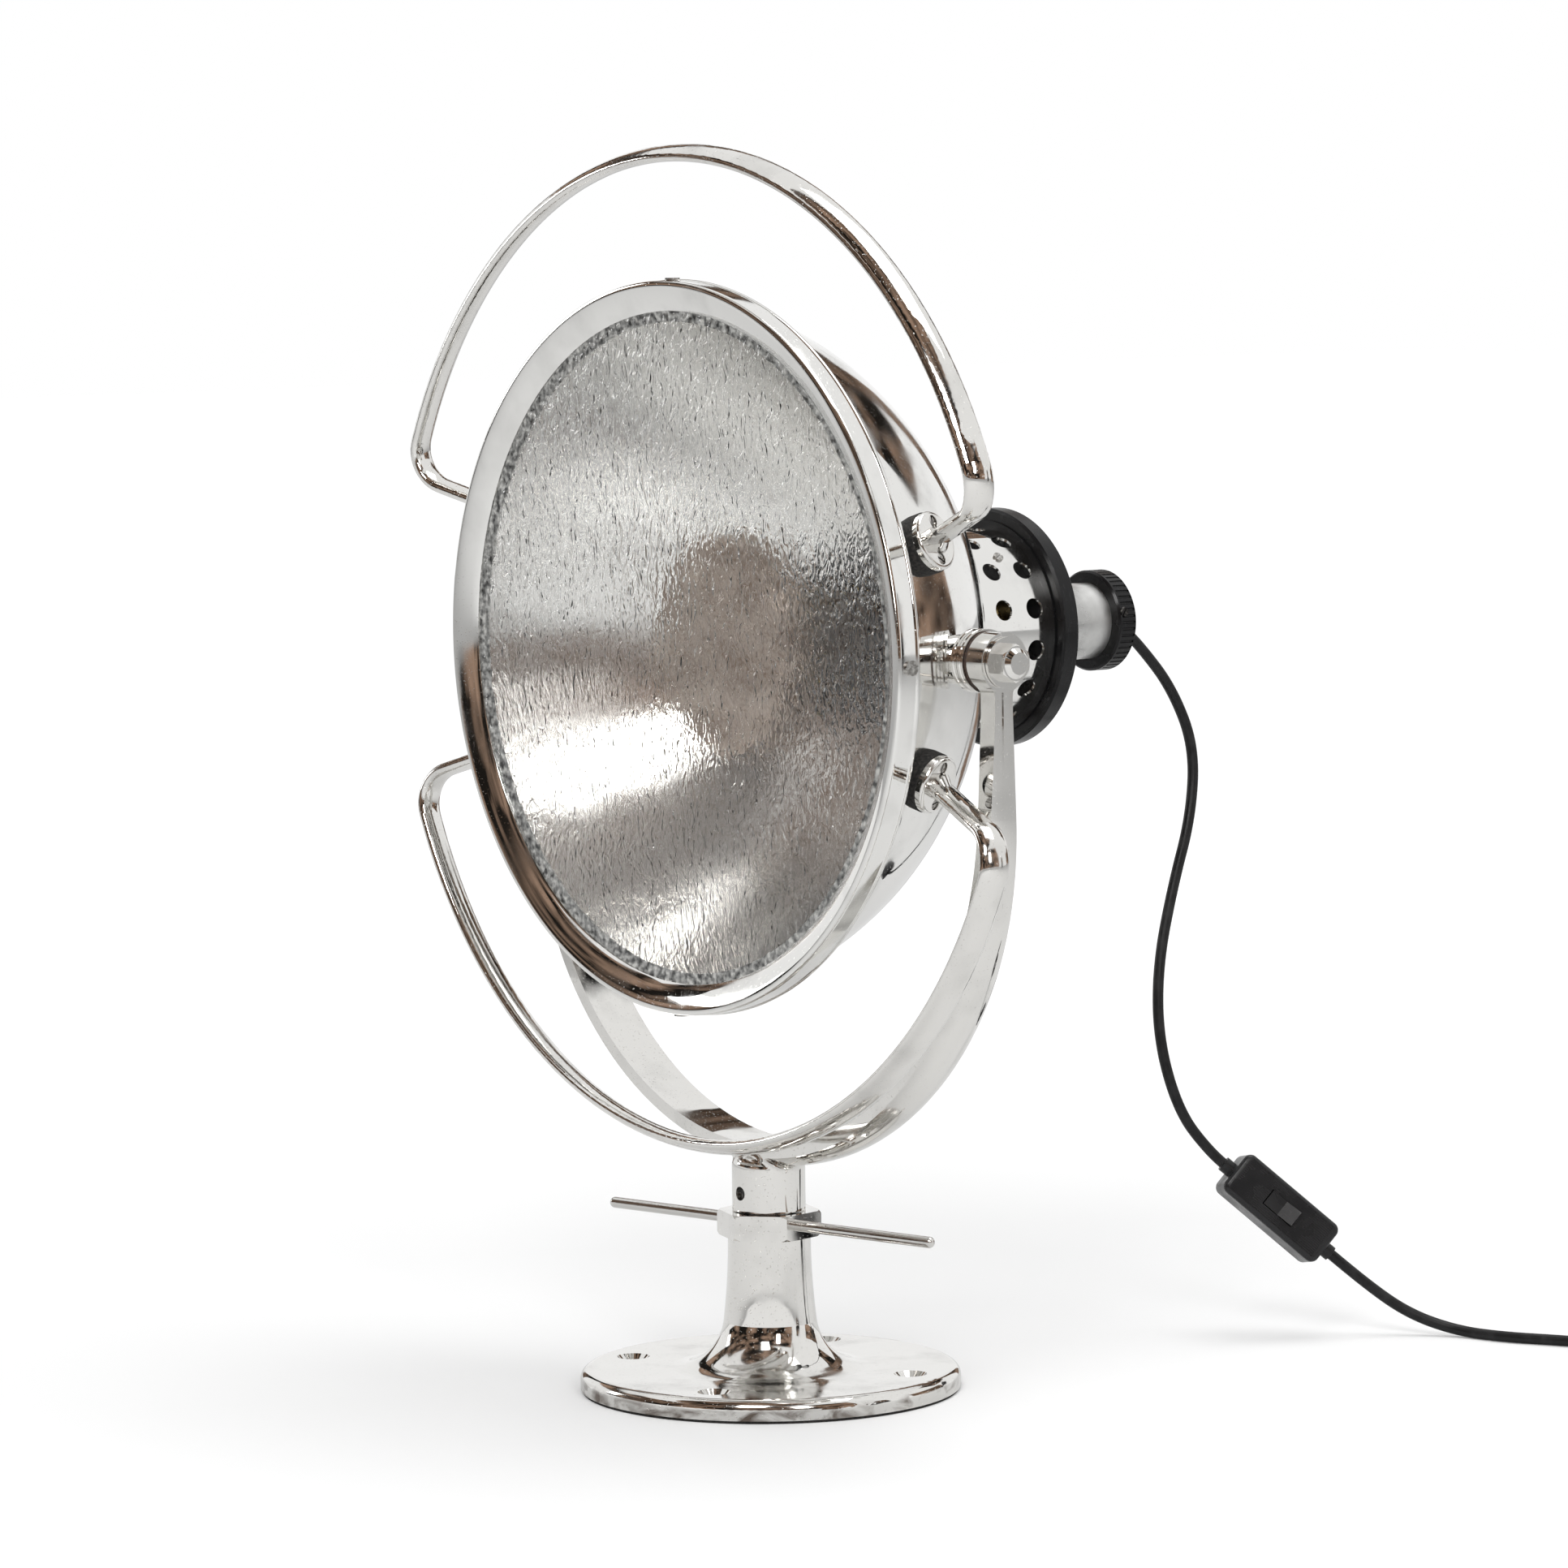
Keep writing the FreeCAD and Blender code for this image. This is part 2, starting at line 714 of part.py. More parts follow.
# Places along the pivot axis: inwards from the yoke's eye to the bowl, then outwards to the bolt
ring_bore = size.bolt_radius + size.run_clearance
eye_inner = yoke_radius - size.yoke_thickness
fibre_face = eye_inner - size.fibre_thickness
outer_ring_face = fibre_face - size.body_gap - size.tilt_ring_width
boss_face = outer_ring_face - size.body_gap - size.tilt_ring_width
backing_face = boss_face - size.boss_length
washer_face = yoke_radius + size.body_gap
hex_face = washer_face + size.washer_thickness

# Shape of the bowl: two arcs of circles that meet smoothly at the shoulder
bowl_front = size.bezel_back - size.bezel_back_lip
front_radius = size.bezel_radius - size.bowl_step
front_centre_along = size.bowl_shoulder - size.bowl_front_arc * sine(size.bowl_shoulder_slope)


def bowl_reach(arc, offset_from_centre):
    return root(arc * arc - offset_from_centre * offset_from_centre)


front_centre_out = front_radius - bowl_reach(size.bowl_front_arc, size.bezel_back - front_centre_along)
arc_step = size.bowl_rear_arc - size.bowl_front_arc
rear_centre_along = front_centre_along - arc_step * sine(size.bowl_shoulder_slope)
rear_centre_out = front_centre_out - arc_step * cosine(size.bowl_shoulder_slope)


def bowl_corners(wall):
    """Front edge, shoulder and rear edge of the bowl's surface, set in by wall."""
    front_arc = size.bowl_front_arc - wall
    rear_arc = size.bowl_rear_arc - wall
    front = (front_centre_out + bowl_reach(front_arc, bowl_front - front_centre_along), bowl_front)
    shoulder = (
        front_centre_out + front_arc * cosine(size.bowl_shoulder_slope),
        front_centre_along + front_arc * sine(size.bowl_shoulder_slope),
    )
    rear_along = rear_centre_along + bowl_reach(rear_arc, size.collar_radius - rear_centre_out)
    rear = (size.collar_radius, rear_along)
    return front, shoulder, rear, front_arc, rear_arc


def bowl_form(label, wall):
    """The bowl's outline as a full solid, used to shape what seats on the bowl."""
    front, shoulder, rear, front_arc, rear_arc = bowl_corners(wall)
    corners = [(0, front[1]), front, (*shoulder, front_arc), (*rear, rear_arc), (0, rear[1])]
    form = turned(label, "Y", corners, pivot_height)
    PARTS.remove(form)
    return form


def make_bezel():
    """Front ring with a sloping face, its screws, the glass, the gasket and the reflector."""
    rim = size.bezel_radius
    inner = rim - size.bezel_wall
    front = size.bezel_front
    crest = rim - size.bezel_edge
    lip_front = front + size.bezel_slope
    lip_back = lip_front + size.lip_thickness
    back_lip = bowl_front
    clear = front_radius + size.body_gap * 2
    corners = [
        (glass_opening, lip_front),
        (crest, front),
        (rim, front + size.bezel_edge, size.bezel_edge),
        (rim, size.bezel_back),
        (clear, size.bezel_back),
        (clear, back_lip),
        (inner, back_lip),
        (inner, lip_back),
        (glass_opening, lip_back),
    ]
    bezel = turned("bezel", "Y", corners, pivot_height)
    doc.recompute()
    hole = new_sketch(bezel, "bezel_screw_hole", "YZ_Plane", glass_radius + size.body_gap)
    round_hole(hole, size.bezel_screw_place, 0, size.bezel_screw_shank)
    around(bezel, pocket(bezel, hole, reverse=True), "Y_Axis", size.bezel_screw_count)

    glass_back = lip_back + size.glass_thickness
    turned(
        "glass",
        "Y",
        [(0, lip_back), (glass_radius, lip_back), (glass_radius, glass_back), (0, glass_back)],
        pivot_height,
    )
    flange_front = bowl_front - size.reflector_flange
    gasket_opening = glass_radius - size.gasket_width
    turned(
        "front_gasket",
        "Y",
        [
            (gasket_opening, glass_back),
            (glass_radius, glass_back),
            (glass_radius, flange_front),
            (gasket_opening, flange_front),
        ],
        pivot_height,
    )
    for number in range(SIZES["bezel_screw_count"]):
        make_bezel_screw(number)
    make_reflector(flange_front)


def make_bezel_screw(number):
    """A slotted screw that points at the beam axis, one of an even ring round the bezel."""
    turn = as_size(360 * number) / size.bezel_screw_count
    body = new_body(f"bezel_screw_{number + 1}", pivot_height, turn, Vector(0, 1, 0))
    sketch = new_sketch(body, f"{body.Name}_head", "YZ_Plane", size.bezel_radius)
    round_hole(sketch, size.bezel_screw_place, 0, size.bezel_screw_radius)
    pad(body, sketch, size.bezel_screw_rise)
    shank = new_sketch(body, f"{body.Name}_shank", "YZ_Plane", glass_radius + size.body_gap)
    round_hole(shank, size.bezel_screw_place, 0, size.bezel_screw_shank)
    pad(body, shank, size.glass_inset - size.body_gap)
    slot = new_sketch(body, f"{body.Name}_slot", "YZ_Plane", size.bezel_radius + size.bezel_screw_rise)
    half = size.bezel_screw_slot / 2
    left = size.bezel_screw_place - size.bezel_screw_radius
    right = size.bezel_screw_place + size.bezel_screw_radius
    outline(slot, [(left, -half), (right, -half), (right, half), (left, half)])
    pocket(body, slot, length=size.bezel_screw_rise / 2)


def parabola(shift, rim_along, opening):
    """Corners along a parabola from its rim to the opening, joined by arcs that follow its slope."""
    corners = []
    steps = SIZES["reflector_steps"]
    double = size.reflector_focus * 2
    rim = root(double * (size.reflector_apex + shift - rim_along) * 2)
    for step in range(steps + 1):
        out = rim + (opening - rim) * (step / steps)
        along = size.reflector_apex + shift - out * out / (double * 2)
        corners.append((out, along))
    arcs = [corners[0]]
    for (out_a, along_a), (out_b, along_b) in zip(corners, corners[1:]):
        mean = (out_a + out_b) / 2
        slope = mean / double
        radius = double * (slope * slope + 1) * root(slope * slope + 1)
        arcs.append((out_b, along_b, radius))
    return arcs


def make_reflector(flange_front):
    """Paraboloid with a flat rim that is held between the gasket and the bowl."""
    inner = parabola(as_size(0), flange_front, size.reflector_opening)
    outer = parabola(size.reflector_shift, bowl_front, size.reflector_opening)
    back = [(corner[0], corner[1]) for corner in reversed(outer)]
    back = [back[0]] + [(*corner, -arc[2]) for corner, arc in zip(back[1:], reversed(outer[1:]))]
    corners = [*inner, *back, (front_radius, bowl_front), (front_radius, flange_front)]
    turned("reflector", "Y", corners, pivot_height)


def make_bowl():
    """Spun bowl of even wall, open at the front and at the vent collar."""
    front, shoulder, rear, front_arc, rear_arc = bowl_corners(as_size(0))
    front_in, shoulder_in, rear_in, front_arc_in, rear_arc_in = bowl_corners(size.bowl_wall)
    corners = [
        front,
        (*shoulder, front_arc),
        (*rear, rear_arc),
        rear_in,
        (*shoulder_in, -rear_arc_in),
        (*front_in, -front_arc_in),
    ]
    bowl = turned("bowl_shell", "Y", corners, pivot_height)
    doc.recompute()
    hole = new_sketch(bowl, "bowl_bolt_hole", "YZ_Plane")
    round_hole(hole, 0, 0, size.bolt_radius)
    pocket(bowl, hole, both=True)


def make_pivot(side, turn, outer_form, inner_form):
    """The bolt, bosses, rings and washers that carry the bowl in one eye of the yoke."""
    seated(f"pivot_boss_{side}", size.boss_radius, turn, outer_form, True)
    seated(f"pivot_backing_{side}", size.backing_radius, turn, inner_form, False)
    groove = size.tilt_ring_groove
    for place, start in (("inner", boss_face), ("outer", outer_ring_face)):
        end = start + size.tilt_ring_width
        middle = start + size.tilt_ring_width / 2
        outer = size.tilt_ring_radius
        corners = [
            (start, ring_bore),
            (end, ring_bore),
            (end, outer),
            (middle + groove / 2, outer),
            (middle, outer - groove / 2),
            (middle - groove / 2, outer),
            (start, outer),
        ]
        turned(f"tilt_ring_{place}_{side}", "X", corners, pivot_height, turn)
    fibre_radius = size.tilt_ring_radius - size.fibre_inset
    washer(f"fibre_washer_{side}", fibre_face, size.fibre_thickness, fibre_radius, ring_bore, turn)
    washer(f"pivot_washer_{side}", washer_face, size.washer_thickness, size.washer_radius, ring_bore, turn)

    bolt = new_body(f"pivot_bolt_{side}", pivot_height, turn)
    sketch = new_sketch(bolt, f"{bolt.Name}_hexagon", "YZ_Plane", hex_face)
    hexagon(sketch, size.bolt_flats)
    pad(bolt, sketch, size.bolt_hex_length)
    nut_start = backing_face - size.pivot_nut_length
    crown = hex_face + size.bolt_hex_length
    end = crown + size.bolt_crown_length
    rim = size.bolt_crown_radius
    spin(
        bolt,
        "X",
        [
            (nut_start, 0),
            (end, 0),
            (end, rim - size.bolt_crown_length),
            (crown, rim),
            (hex_face, rim),
            (hex_face, size.bolt_radius),
            (nut_start, size.bolt_radius),
        ],
    )
    corner = size.bolt_flats / math.sqrt(3)
    bevel = size.bolt_chamfer
    beyond = corner + bevel
    spin(bolt, "X", [(crown - bevel, beyond), (crown, corner - bevel), (crown, beyond)], cut=True)

    nut = new_body(f"pivot_nut_{side}", pivot_height, turn)
    sketch = new_sketch(nut, f"{nut.Name}_hexagon", "YZ_Plane", nut_start)
    hexagon(sketch, size.pivot_nut_flats)
    round_hole(sketch, 0, 0, size.bolt_radius)
    pad(nut, sketch, size.pivot_nut_length)


def seated(label, radius, turn, form, outside):
    """A bored cylinder on the pivot axis whose end is shaped to the bowl's surface."""
    post = doc.addObject("Part::Cylinder", f"{label}_post")
    bind(post, "Radius", radius)
    hole = doc.addObject("Part::Cylinder", f"{label}_hole")
    bind(hole, "Radius", size.bolt_radius)
    side = 1 if turn is None else -1
    for piece in (post, hole):
        bind(piece, "Height", size.boss_length)
        piece.Placement = Placement(Vector(), Rotation(Vector(0, 0, 1), Vector(side, 0, 0)))
        piece.setExpression("Placement.Base.x", (backing_face * side).text)
        piece.setExpression("Placement.Base.z", pivot_height.text)
    pipe = doc.addObject("Part::Cut", f"{label}_pipe")
    pipe.Base = post
    pipe.Tool = hole
    shaped = doc.addObject("Part::Cut" if outside else "Part::Common", label)
    shaped.Base = pipe
    shaped.Tool = form
    shaped.Label = label
    PARTS.append(shaped)


def make_rear():
    """Vent collar with its two rows of holes, the moulded cap and the bush that guides the slide."""
    outer = size.collar_radius
    inner = outer - size.collar_wall
    front = size.collar_front
    collar = turned(
        "vent_collar",
        "Y",
        [(inner, front), (outer, front), (outer, size.collar_back), (inner, size.collar_back)],
        pivot_height,
        size.vent_turn,
        Vector(0, -1, 0),
    )
    doc.recompute()
    vents = new_sketch(collar, "vent_holes", "YZ_Plane")
    for along in (size.vent_first_row, size.vent_first_row + size.vent_row_pitch):
        round_hole(vents, along, 0, size.vent_radius)
    around(collar, pocket(collar, vents, reverse=True), "Y_Axis", size.vent_count)

    bush_outer = size.tube_radius + size.run_clearance + size.bush_wall
    back = size.collar_back + size.cap_thickness
    face = size.collar_back + size.cap_step
    spigot = size.collar_back - size.cap_spigot
    hub = back + size.hub_rise
    corners = [
        (bush_outer, spigot),
        (inner, spigot),
        (inner, size.collar_back),
        (size.cap_step_radius, size.collar_back),
        (size.cap_step_radius, face),
        (size.cap_radius - size.cap_chamfer, face),
        (size.cap_radius, face + size.cap_chamfer),
        (size.cap_radius, back - size.cap_chamfer),
        (size.cap_radius - size.cap_chamfer, back),
        (size.hub_radius, back),
        (size.hub_radius, hub),
        (bush_outer, hub),
    ]
    turned("rear_cap", "Y", corners, pivot_height)
    bush_bore = size.tube_radius + size.run_clearance
    turned(
        "guide_bush",
        "Y",
        [(bush_bore, size.bush_front), (bush_outer, size.bush_front), (bush_outer, hub), (bush_bore, hub)],
        pivot_height,
    )


knob_back = size.knob_front + size.knob_width


def make_focus():
    """The tube that slides in the bush, its ribbed knob, and the lamp in its holder."""
    bore = size.tube_radius - size.tube_wall
    tube_back = knob_back - size.knob_floor
    outer = size.tube_radius
    turned(
        "focus_tube",
        "Y",
        [(bore, size.tube_front), (outer, size.tube_front), (outer, tube_back), (bore, tube_back)],
        pivot_height,
    )
    edge = size.knob_radius - size.knob_round
    knob = turned(
        "focus_knob",
        "Y",
        [
            (size.tube_radius, size.knob_front),
            (edge, size.knob_front),
            (size.knob_radius, size.knob_front + size.knob_round),
            (size.knob_radius, knob_back - size.knob_round),
            (edge, knob_back),
            (0, knob_back),
            (0, tube_back),
            (size.tube_radius, tube_back),
        ],
        pivot_height,
    )
    doc.recompute()
    opening = new_sketch(knob, "knob_cord_hole", "XZ_Plane", -tube_back)
    round_hole(opening, 0, -size.grip_drop, size.cord_radius)
    pocket(knob, opening, reverse=False, length=size.knob_width)
    groove = new_sketch(knob, "knob_groove", "XZ_Plane", -(knob_back - size.knob_round))
    round_hole(groove, size.knob_radius, 0, size.knob_groove_radius)
    cut = pocket(knob, groove, length=size.knob_width - size.knob_round * 3, reverse=True)
    around(knob, cut, "Y_Axis", size.knob_groove_count)

    grip = new_body("cord_grip", pivot_height)
    ring = new_sketch(grip, "grip_ring", "XZ_Plane", -(knob_back + size.grip_rise))
    round_hole(ring, 0, -size.grip_drop, size.grip_radius)
    round_hole(ring, 0, -size.grip_drop, size.cord_radius)
    pad(grip, ring, size.grip_rise)

    rear = size.tube_front - size.holder_flange
    spigot = size.tube_front + size.holder_spigot
    floor = size.holder_front + size.socket_depth
    turned(
        "lamp_holder",
        "Y",
        [
            (size.bulb_base_radius, size.holder_front),
            (size.holder_radius, size.holder_front),
            (size.holder_radius, rear),
            (size.tube_radius, rear),
            (size.tube_radius, size.tube_front),
            (bore, size.tube_front),
            (bore, spigot),
            (0, spigot),
            (0, floor),
            (size.bulb_base_radius, floor),
        ],
        pivot_height,
    )
    side_end = size.bulb_face + size.bulb_side_length
    neck = size.bulb_neck_radius
    turned(
        "bulb",
        "Y",
        [
            (0, size.bulb_face),
            (size.bulb_face_radius, size.bulb_face),
            (size.bulb_side_radius, size.bulb_face + size.bulb_edge),
            (size.bulb_side_radius, side_end),
            (neck, size.bulb_neck_front, -(size.bulb_side_radius * 2)),
            (neck, size.bulb_neck_back),
            (0, size.bulb_neck_back),
        ],
        pivot_height,
    )
    turned(
        "bulb_base",
        "Y",
        [
            (0, size.bulb_neck_back),
            (size.bulb_base_radius, size.bulb_neck_back),
            (size.bulb_base_radius, floor - size.socket_depth / 4),
            (size.bulb_base_radius / 2, floor),
            (0, floor),
        ],
        pivot_height,
    )
    flex = new_body("inner_flex", pivot_height)
    core = new_sketch(flex, "flex_section", "XZ_Plane", -(knob_back + size.grip_rise))
    round_hole(core, 0, -size.grip_drop, size.cord_radius)
    pad(flex, core, knob_back + size.grip_rise - spigot)


def rounded_path(points, radii=None):
    """A wire of straight runs and tangent arcs; each arc is as large as its two runs allow."""
    edges = []
    used = []
    start = points[0]
    for place in range(1, len(points) - 1):
        before, corner, after = points[place - 1], points[place], points[place + 1]
        inward = (before - corner).normalize()
        outward = (after - corner).normalize()
        half_turn = (math.pi - inward.getAngle(outward)) / 2
        shorter = min((before - corner).Length, (after - corner).Length)
        cut = 0.45 * shorter if radii is None else radii[place - 1] * math.tan(half_turn)
        radius = cut / math.tan(half_turn)
        bisector = (inward + outward).normalize()
        centre = corner + bisector * (radius / math.cos(half_turn))
        middle = centre - bisector * radius
        edges.append(Part.LineSegment(start, corner + inward * cut).toShape())
        edges.append(Part.Arc(corner + inward * cut, middle, corner + outward * cut).toShape())
        start = corner + outward * cut
        used.append(radius)
    edges.append(Part.LineSegment(start, points[-1]).toShape())
    return Part.Wire(edges), used


def make_guard(label, up, reach, plane):
    """A crowned bar bent round the bezel, its ends turned in to flanged feet on the bowl."""
    value = SIZES
    radius = value["bezel_radius"] + reach
    lift = Vector(0, 0, pivot_height.value)
    tilt = math.radians(value["foot_tilt"])
    turn = math.radians(value["foot_turn"])
    seat = front_centre_out + bowl_reach(size.bowl_front_arc, size.foot_plane - front_centre_along)
    inner = seat.value + value["foot_gasket_thickness"]
    begin = math.radians(value["guard_turn_start"])

    def mirrored(point, side):
        return Vector(point.x * side, point.y, point.z * up) + lift

    normal = Vector(math.cos(tilt) * math.cos(turn), math.sin(tilt), math.cos(tilt) * math.sin(turn))
    foot = Vector(inner * math.cos(turn), value["foot_plane"], inner * math.sin(turn))
    arc_start = Vector(radius * math.cos(begin), plane, radius * math.sin(begin))
    tail = Vector(math.sin(begin), 0, -math.cos(begin)) * value["guard_tail"]
    corner = arc_start + tail
    inward = (foot + normal * (value["foot_thickness"] / 2) - corner).normalize()
    outward = (arc_start - corner).normalize()
    half_turn = (math.pi - inward.getAngle(outward)) / 2
    bend = value["guard_bend"] / math.tan(half_turn)
    bisector = (inward + outward).normalize()
    centre = corner + bisector * (bend / math.cos(half_turn))
    cut = bend * math.tan(half_turn)

    bend_end = corner + inward * cut
    root_end = foot + normal * (value["foot_thickness"] / 2)
    edges = []
    for side in (1, -1):
        ends = [
            Part.LineSegment(mirrored(root_end, side), mirrored(bend_end, side)),
            Part.Arc(
                mirrored(bend_end, side),
                mirrored(centre - bisector * bend, side),
                mirrored(corner + outward * cut, side),
            ),
            Part.LineSegment(mirrored(corner + outward * cut, side), mirrored(arc_start, side)),
        ]
        edges.append(ends)
    bow = Part.Arc(mirrored(arc_start, 1), mirrored(Vector(0, plane, radius), 1), mirrored(arc_start, -1))
    right, left = edges
    path = Part.Wire([piece.toShape() for piece in (*right, bow, *reversed(left))])
    run = (bend_end - root_end).normalize()
    run = Vector(run.x, run.y, run.z * up)
    section = oval(mirrored(root_end, 1), run, value["guard_half_depth"], value["guard_half_height"])
    shape = path.makePipeShell([section], True, False)
    for side in (1, -1):
        start = mirrored(foot, side)
        direction = Vector(normal.x * side, normal.y, normal.z * up)
        flange = Part.makeCylinder(value["foot_radius"], value["foot_thickness"], start, direction)
        rim = [edge for edge in flange.Edges if edge.Closed and (edge.CenterOfMass - start).Length > 1.0]
        flange = flange.makeFillet(value["foot_round"], rim)
        bar = Vector(run.x * side, run.y, run.z)
        root_start = start + direction * (value["foot_thickness"] / 2)
        cone = Part.makeCone(
            value["foot_root_radius"],
            value["guard_half_height"],
            value["foot_root_length"],
            root_start,
            bar,
        )
        shape = shape.fuse([flange, cone])
        under = start - direction * value["foot_gasket_thickness"]
        reach = 2 * value["foot_radius"]
        shape = shape.cut(Part.makeCylinder(reach, value["foot_gasket_thickness"], under, direction))
        across = direction.cross(Vector(0, 1, 0)).normalize()
        for way in (1, -1):
            mouth = start + direction * (value["foot_thickness"] - value["foot_screw_recess"])
            mouth = mouth + across * (way * value["foot_screw_pitch"] / 2)
            drill = 2 * value["foot_root_length"]
            shape = shape.cut(Part.makeCylinder(value["foot_screw_radius"], drill, mouth, direction))
    guard = doc.addObject("Part::Feature", label)
    guard.Shape = shape.Solids[0]
    guard.Label = label
    PARTS.append(guard)
    return [(mirrored(foot, side), Vector(normal.x * side, normal.y, normal.z * up)) for side in (1, -1)]


def oval(place, direction, wide, high):
    """An elliptic section across a direction, its long side along the beam axis."""
    long_side = (Vector(0, 1, 0) - direction * direction.y).normalize()
    ellipse = Part.Ellipse(place + long_side * wide, place + direction.cross(long_side) * high, place)
    return Part.Wire([ellipse.toShape()])


def make_foot_gasket(number, place, direction, form):
    """A fibre disc between a guard's foot and the bowl, shaped to the bowl on its inner side."""
    disc = doc.addObject("Part::Cylinder", f"gasket_disc_{number}")
    bind(disc, "Radius", size.foot_gasket_radius)
    bind(disc, "Height", size.foot_gasket_thickness * 2)
    start = place - direction * (SIZES["foot_gasket_thickness"] * 2)
    disc.Placement = Placement(start, Rotation(Vector(0, 0, 1), direction))
    gasket = doc.addObject("Part::Cut", f"guard_gasket_{number}")
    gasket.Base = disc
    gasket.Tool = form
    gasket.Label = gasket.Name
    PARTS.append(gasket)


# The cord's route, chosen by hand: from the grip down to the switch, then along the table
CORD_UPPER = [
    (0.0, 262.6, 424.0),
    (0.0, 269.0, 424.0),
    (1.5, 284.0, 411.0),
    (5.0, 306.0, 385.0),
    (9.0, 320.5, 349.0),
    (16.0, 311.0, 308.0),
    (23.0, 290.0, 268.5),
    (31.0, 270.5, 223.0),
    (38.0, 264.5, 180.0),
    (46.0, 273.0, 137.5),
    (50.2, 293.3, 112.0),
    (55.33, 299.83, 104.75),
]
CORD_LOWER = [
    (94.7, 350.2, 49.2),
    (108.0, 367.3, 30.4),
    (124.0, 387.0, 12.5),
    (146.0, 405.0, 3.3),
    (178.0, 411.5, 3.3),
    (206.0, 427.0, 3.3),
    (226.0, 436.5, 3.3),
    (242.4, 436.5, 3.3),
]
SWITCH_PLACE = Vector(75.0, 325.0, 77.0)
SWITCH_RUN = Vector(0.465, 0.595, -0.656)
SWITCH_FACE = Vector(0.862, -0.473, 0.182)
COIL_PLACE = Vector(249.0, 478.0, 3.3)


def make_tube(label, points):
    """A round cord along straight runs and tangent arcs; prints its radii and its volume check."""
    path, radii = rounded_path([Vector(*point) for point in points])
    start = Vector(*points[0])
    section = Part.Wire([Part.Circle(start, Vector(*points[1]) - start, SIZES["cord_radius"]).toShape()])
    tube = doc.addObject("Part::Feature", label)
    tube.Shape = path.makePipeShell([section], True, False)
    tube.Label = label
    PARTS.append(tube)
    expected = math.pi * SIZES["cord_radius"] ** 2 * path.Length
    print(label, "length", round(path.Length, 1), "radii", [round(radius, 1) for radius in radii])
    print(label, "volume over section times length", round(tube.Shape.Volume / expected, 4))


def coil_path():
    """Half turns that draw in, one that climbs a layer and half turns that widen out again."""
    pitch = SIZES["coil_pitch"]
    rise = Vector(0, 0, SIZES["coil_layer"])
    place = COIL_PLACE - Vector(0, SIZES["coil_radius"], 0)
    lead = 2 * SIZES["cord_radius"]
    edges = [Part.LineSegment(place - Vector(lead, 0, 0), place).toShape()]
    span = 2 * SIZES["coil_radius"] - pitch / 2
    way = 1

    def half_turn(start, width, sense, climb):
        end = start + Vector(0, width * sense, 0) + climb
        middle = (start + end) * 0.5
        bulge = middle + Vector((end - start).Length / 2 * sense, 0, 0)
        edges.append(Part.Arc(start, bulge, end).toShape())
        return end

    for _ in range(SIZES["coil_turns_in"]):
        place = half_turn(place, span, way, Vector())
        span -= pitch
        way = -way
    place = half_turn(place, span, way, rise)
    way = -way
    for _ in range(SIZES["coil_turns_out"]):
        span += pitch
        place = half_turn(place, span, way, Vector())
        way = -way
    quarter = (span + pitch) / 2
    centre = place + Vector(0, quarter * way, 0)
    slant = quarter * math.sqrt(0.5)
    bulge = centre + Vector(slant * way, -slant * way, 0)
    end = centre + Vector(quarter * way, 0, 0)
    edges.append(Part.Arc(place, bulge, end).toShape())
    finish = end + Vector(0, SIZES["coil_tail"] * way, 0)
    edges.append(Part.LineSegment(end, finish).toShape())
    return Part.Wire(edges), finish, Vector(0, way, 0)


def least_self_gap(path, diameter):
    """The smallest distance between stretches of a tube that aren't neighbours along it."""
    count = int(path.Length / 3.0)
    points = path.discretize(Number=count)
    step = path.Length / (count - 1)
    skip = int(3.5 * diameter / step) + 1
    least = min(
        (points[first] - points[second]).Length
        for first in range(count)
        for second in range(first + skip, count)
    )
    return least - diameter


def make_coil():
    """The cord's spare length in two flat layers of loops, as one unbroken tube, and its plug."""
    path, finish, heading = coil_path()
    start = path.Vertexes[0].Point
    section = Part.Wire([Part.Circle(start, Vector(1, 0, 0), SIZES["cord_radius"]).toShape()])
    coil = doc.addObject("Part::Feature", "cord_coil")
    coil.Shape = path.makePipeShell([section], True, False)
    coil.Label = "cord_coil"
    PARTS.append(coil)
    least = least_self_gap(path, 2 * SIZES["cord_radius"])
    print("cord_coil length", round(path.Length, 1), "least gap", round(least, 2))
    make_plug(finish, heading)


def make_plug(place, heading):
    """A flat two-pin plug that lies beside the coil, its body rounded where a hand holds it."""
    body = new_body("plug_body")
    body.Placement = Placement(place, Rotation(Vector(1, 0, 0), heading))
    sketch = new_sketch(body, "plug_outline", "XY_Plane", -size.plug_thickness / 2)
    half = size.plug_width / 2
    neck = size.cord_radius * 2
    length = size.plug_length
    corner = size.plug_round
    outline(
        sketch,
        [
            (0, -neck),
            (length / 2, -half),
            (length - corner, -half),
            (length, corner - half, corner),
            (length, half - corner),
            (length - corner, half, corner),
            (length / 2, half),
            (0, neck),
        ],
    )
    pad(body, sketch, size.plug_thickness)
    pins = new_body("plug_pins")
    pins.Placement = body.Placement
    ends = new_sketch(pins, "pin_sections", "YZ_Plane", length)
    for side in (1, -1):
        round_hole(ends, size.pin_spacing / 2 * side, 0, size.pin_radius)
    pad(pins, ends, size.pin_length)


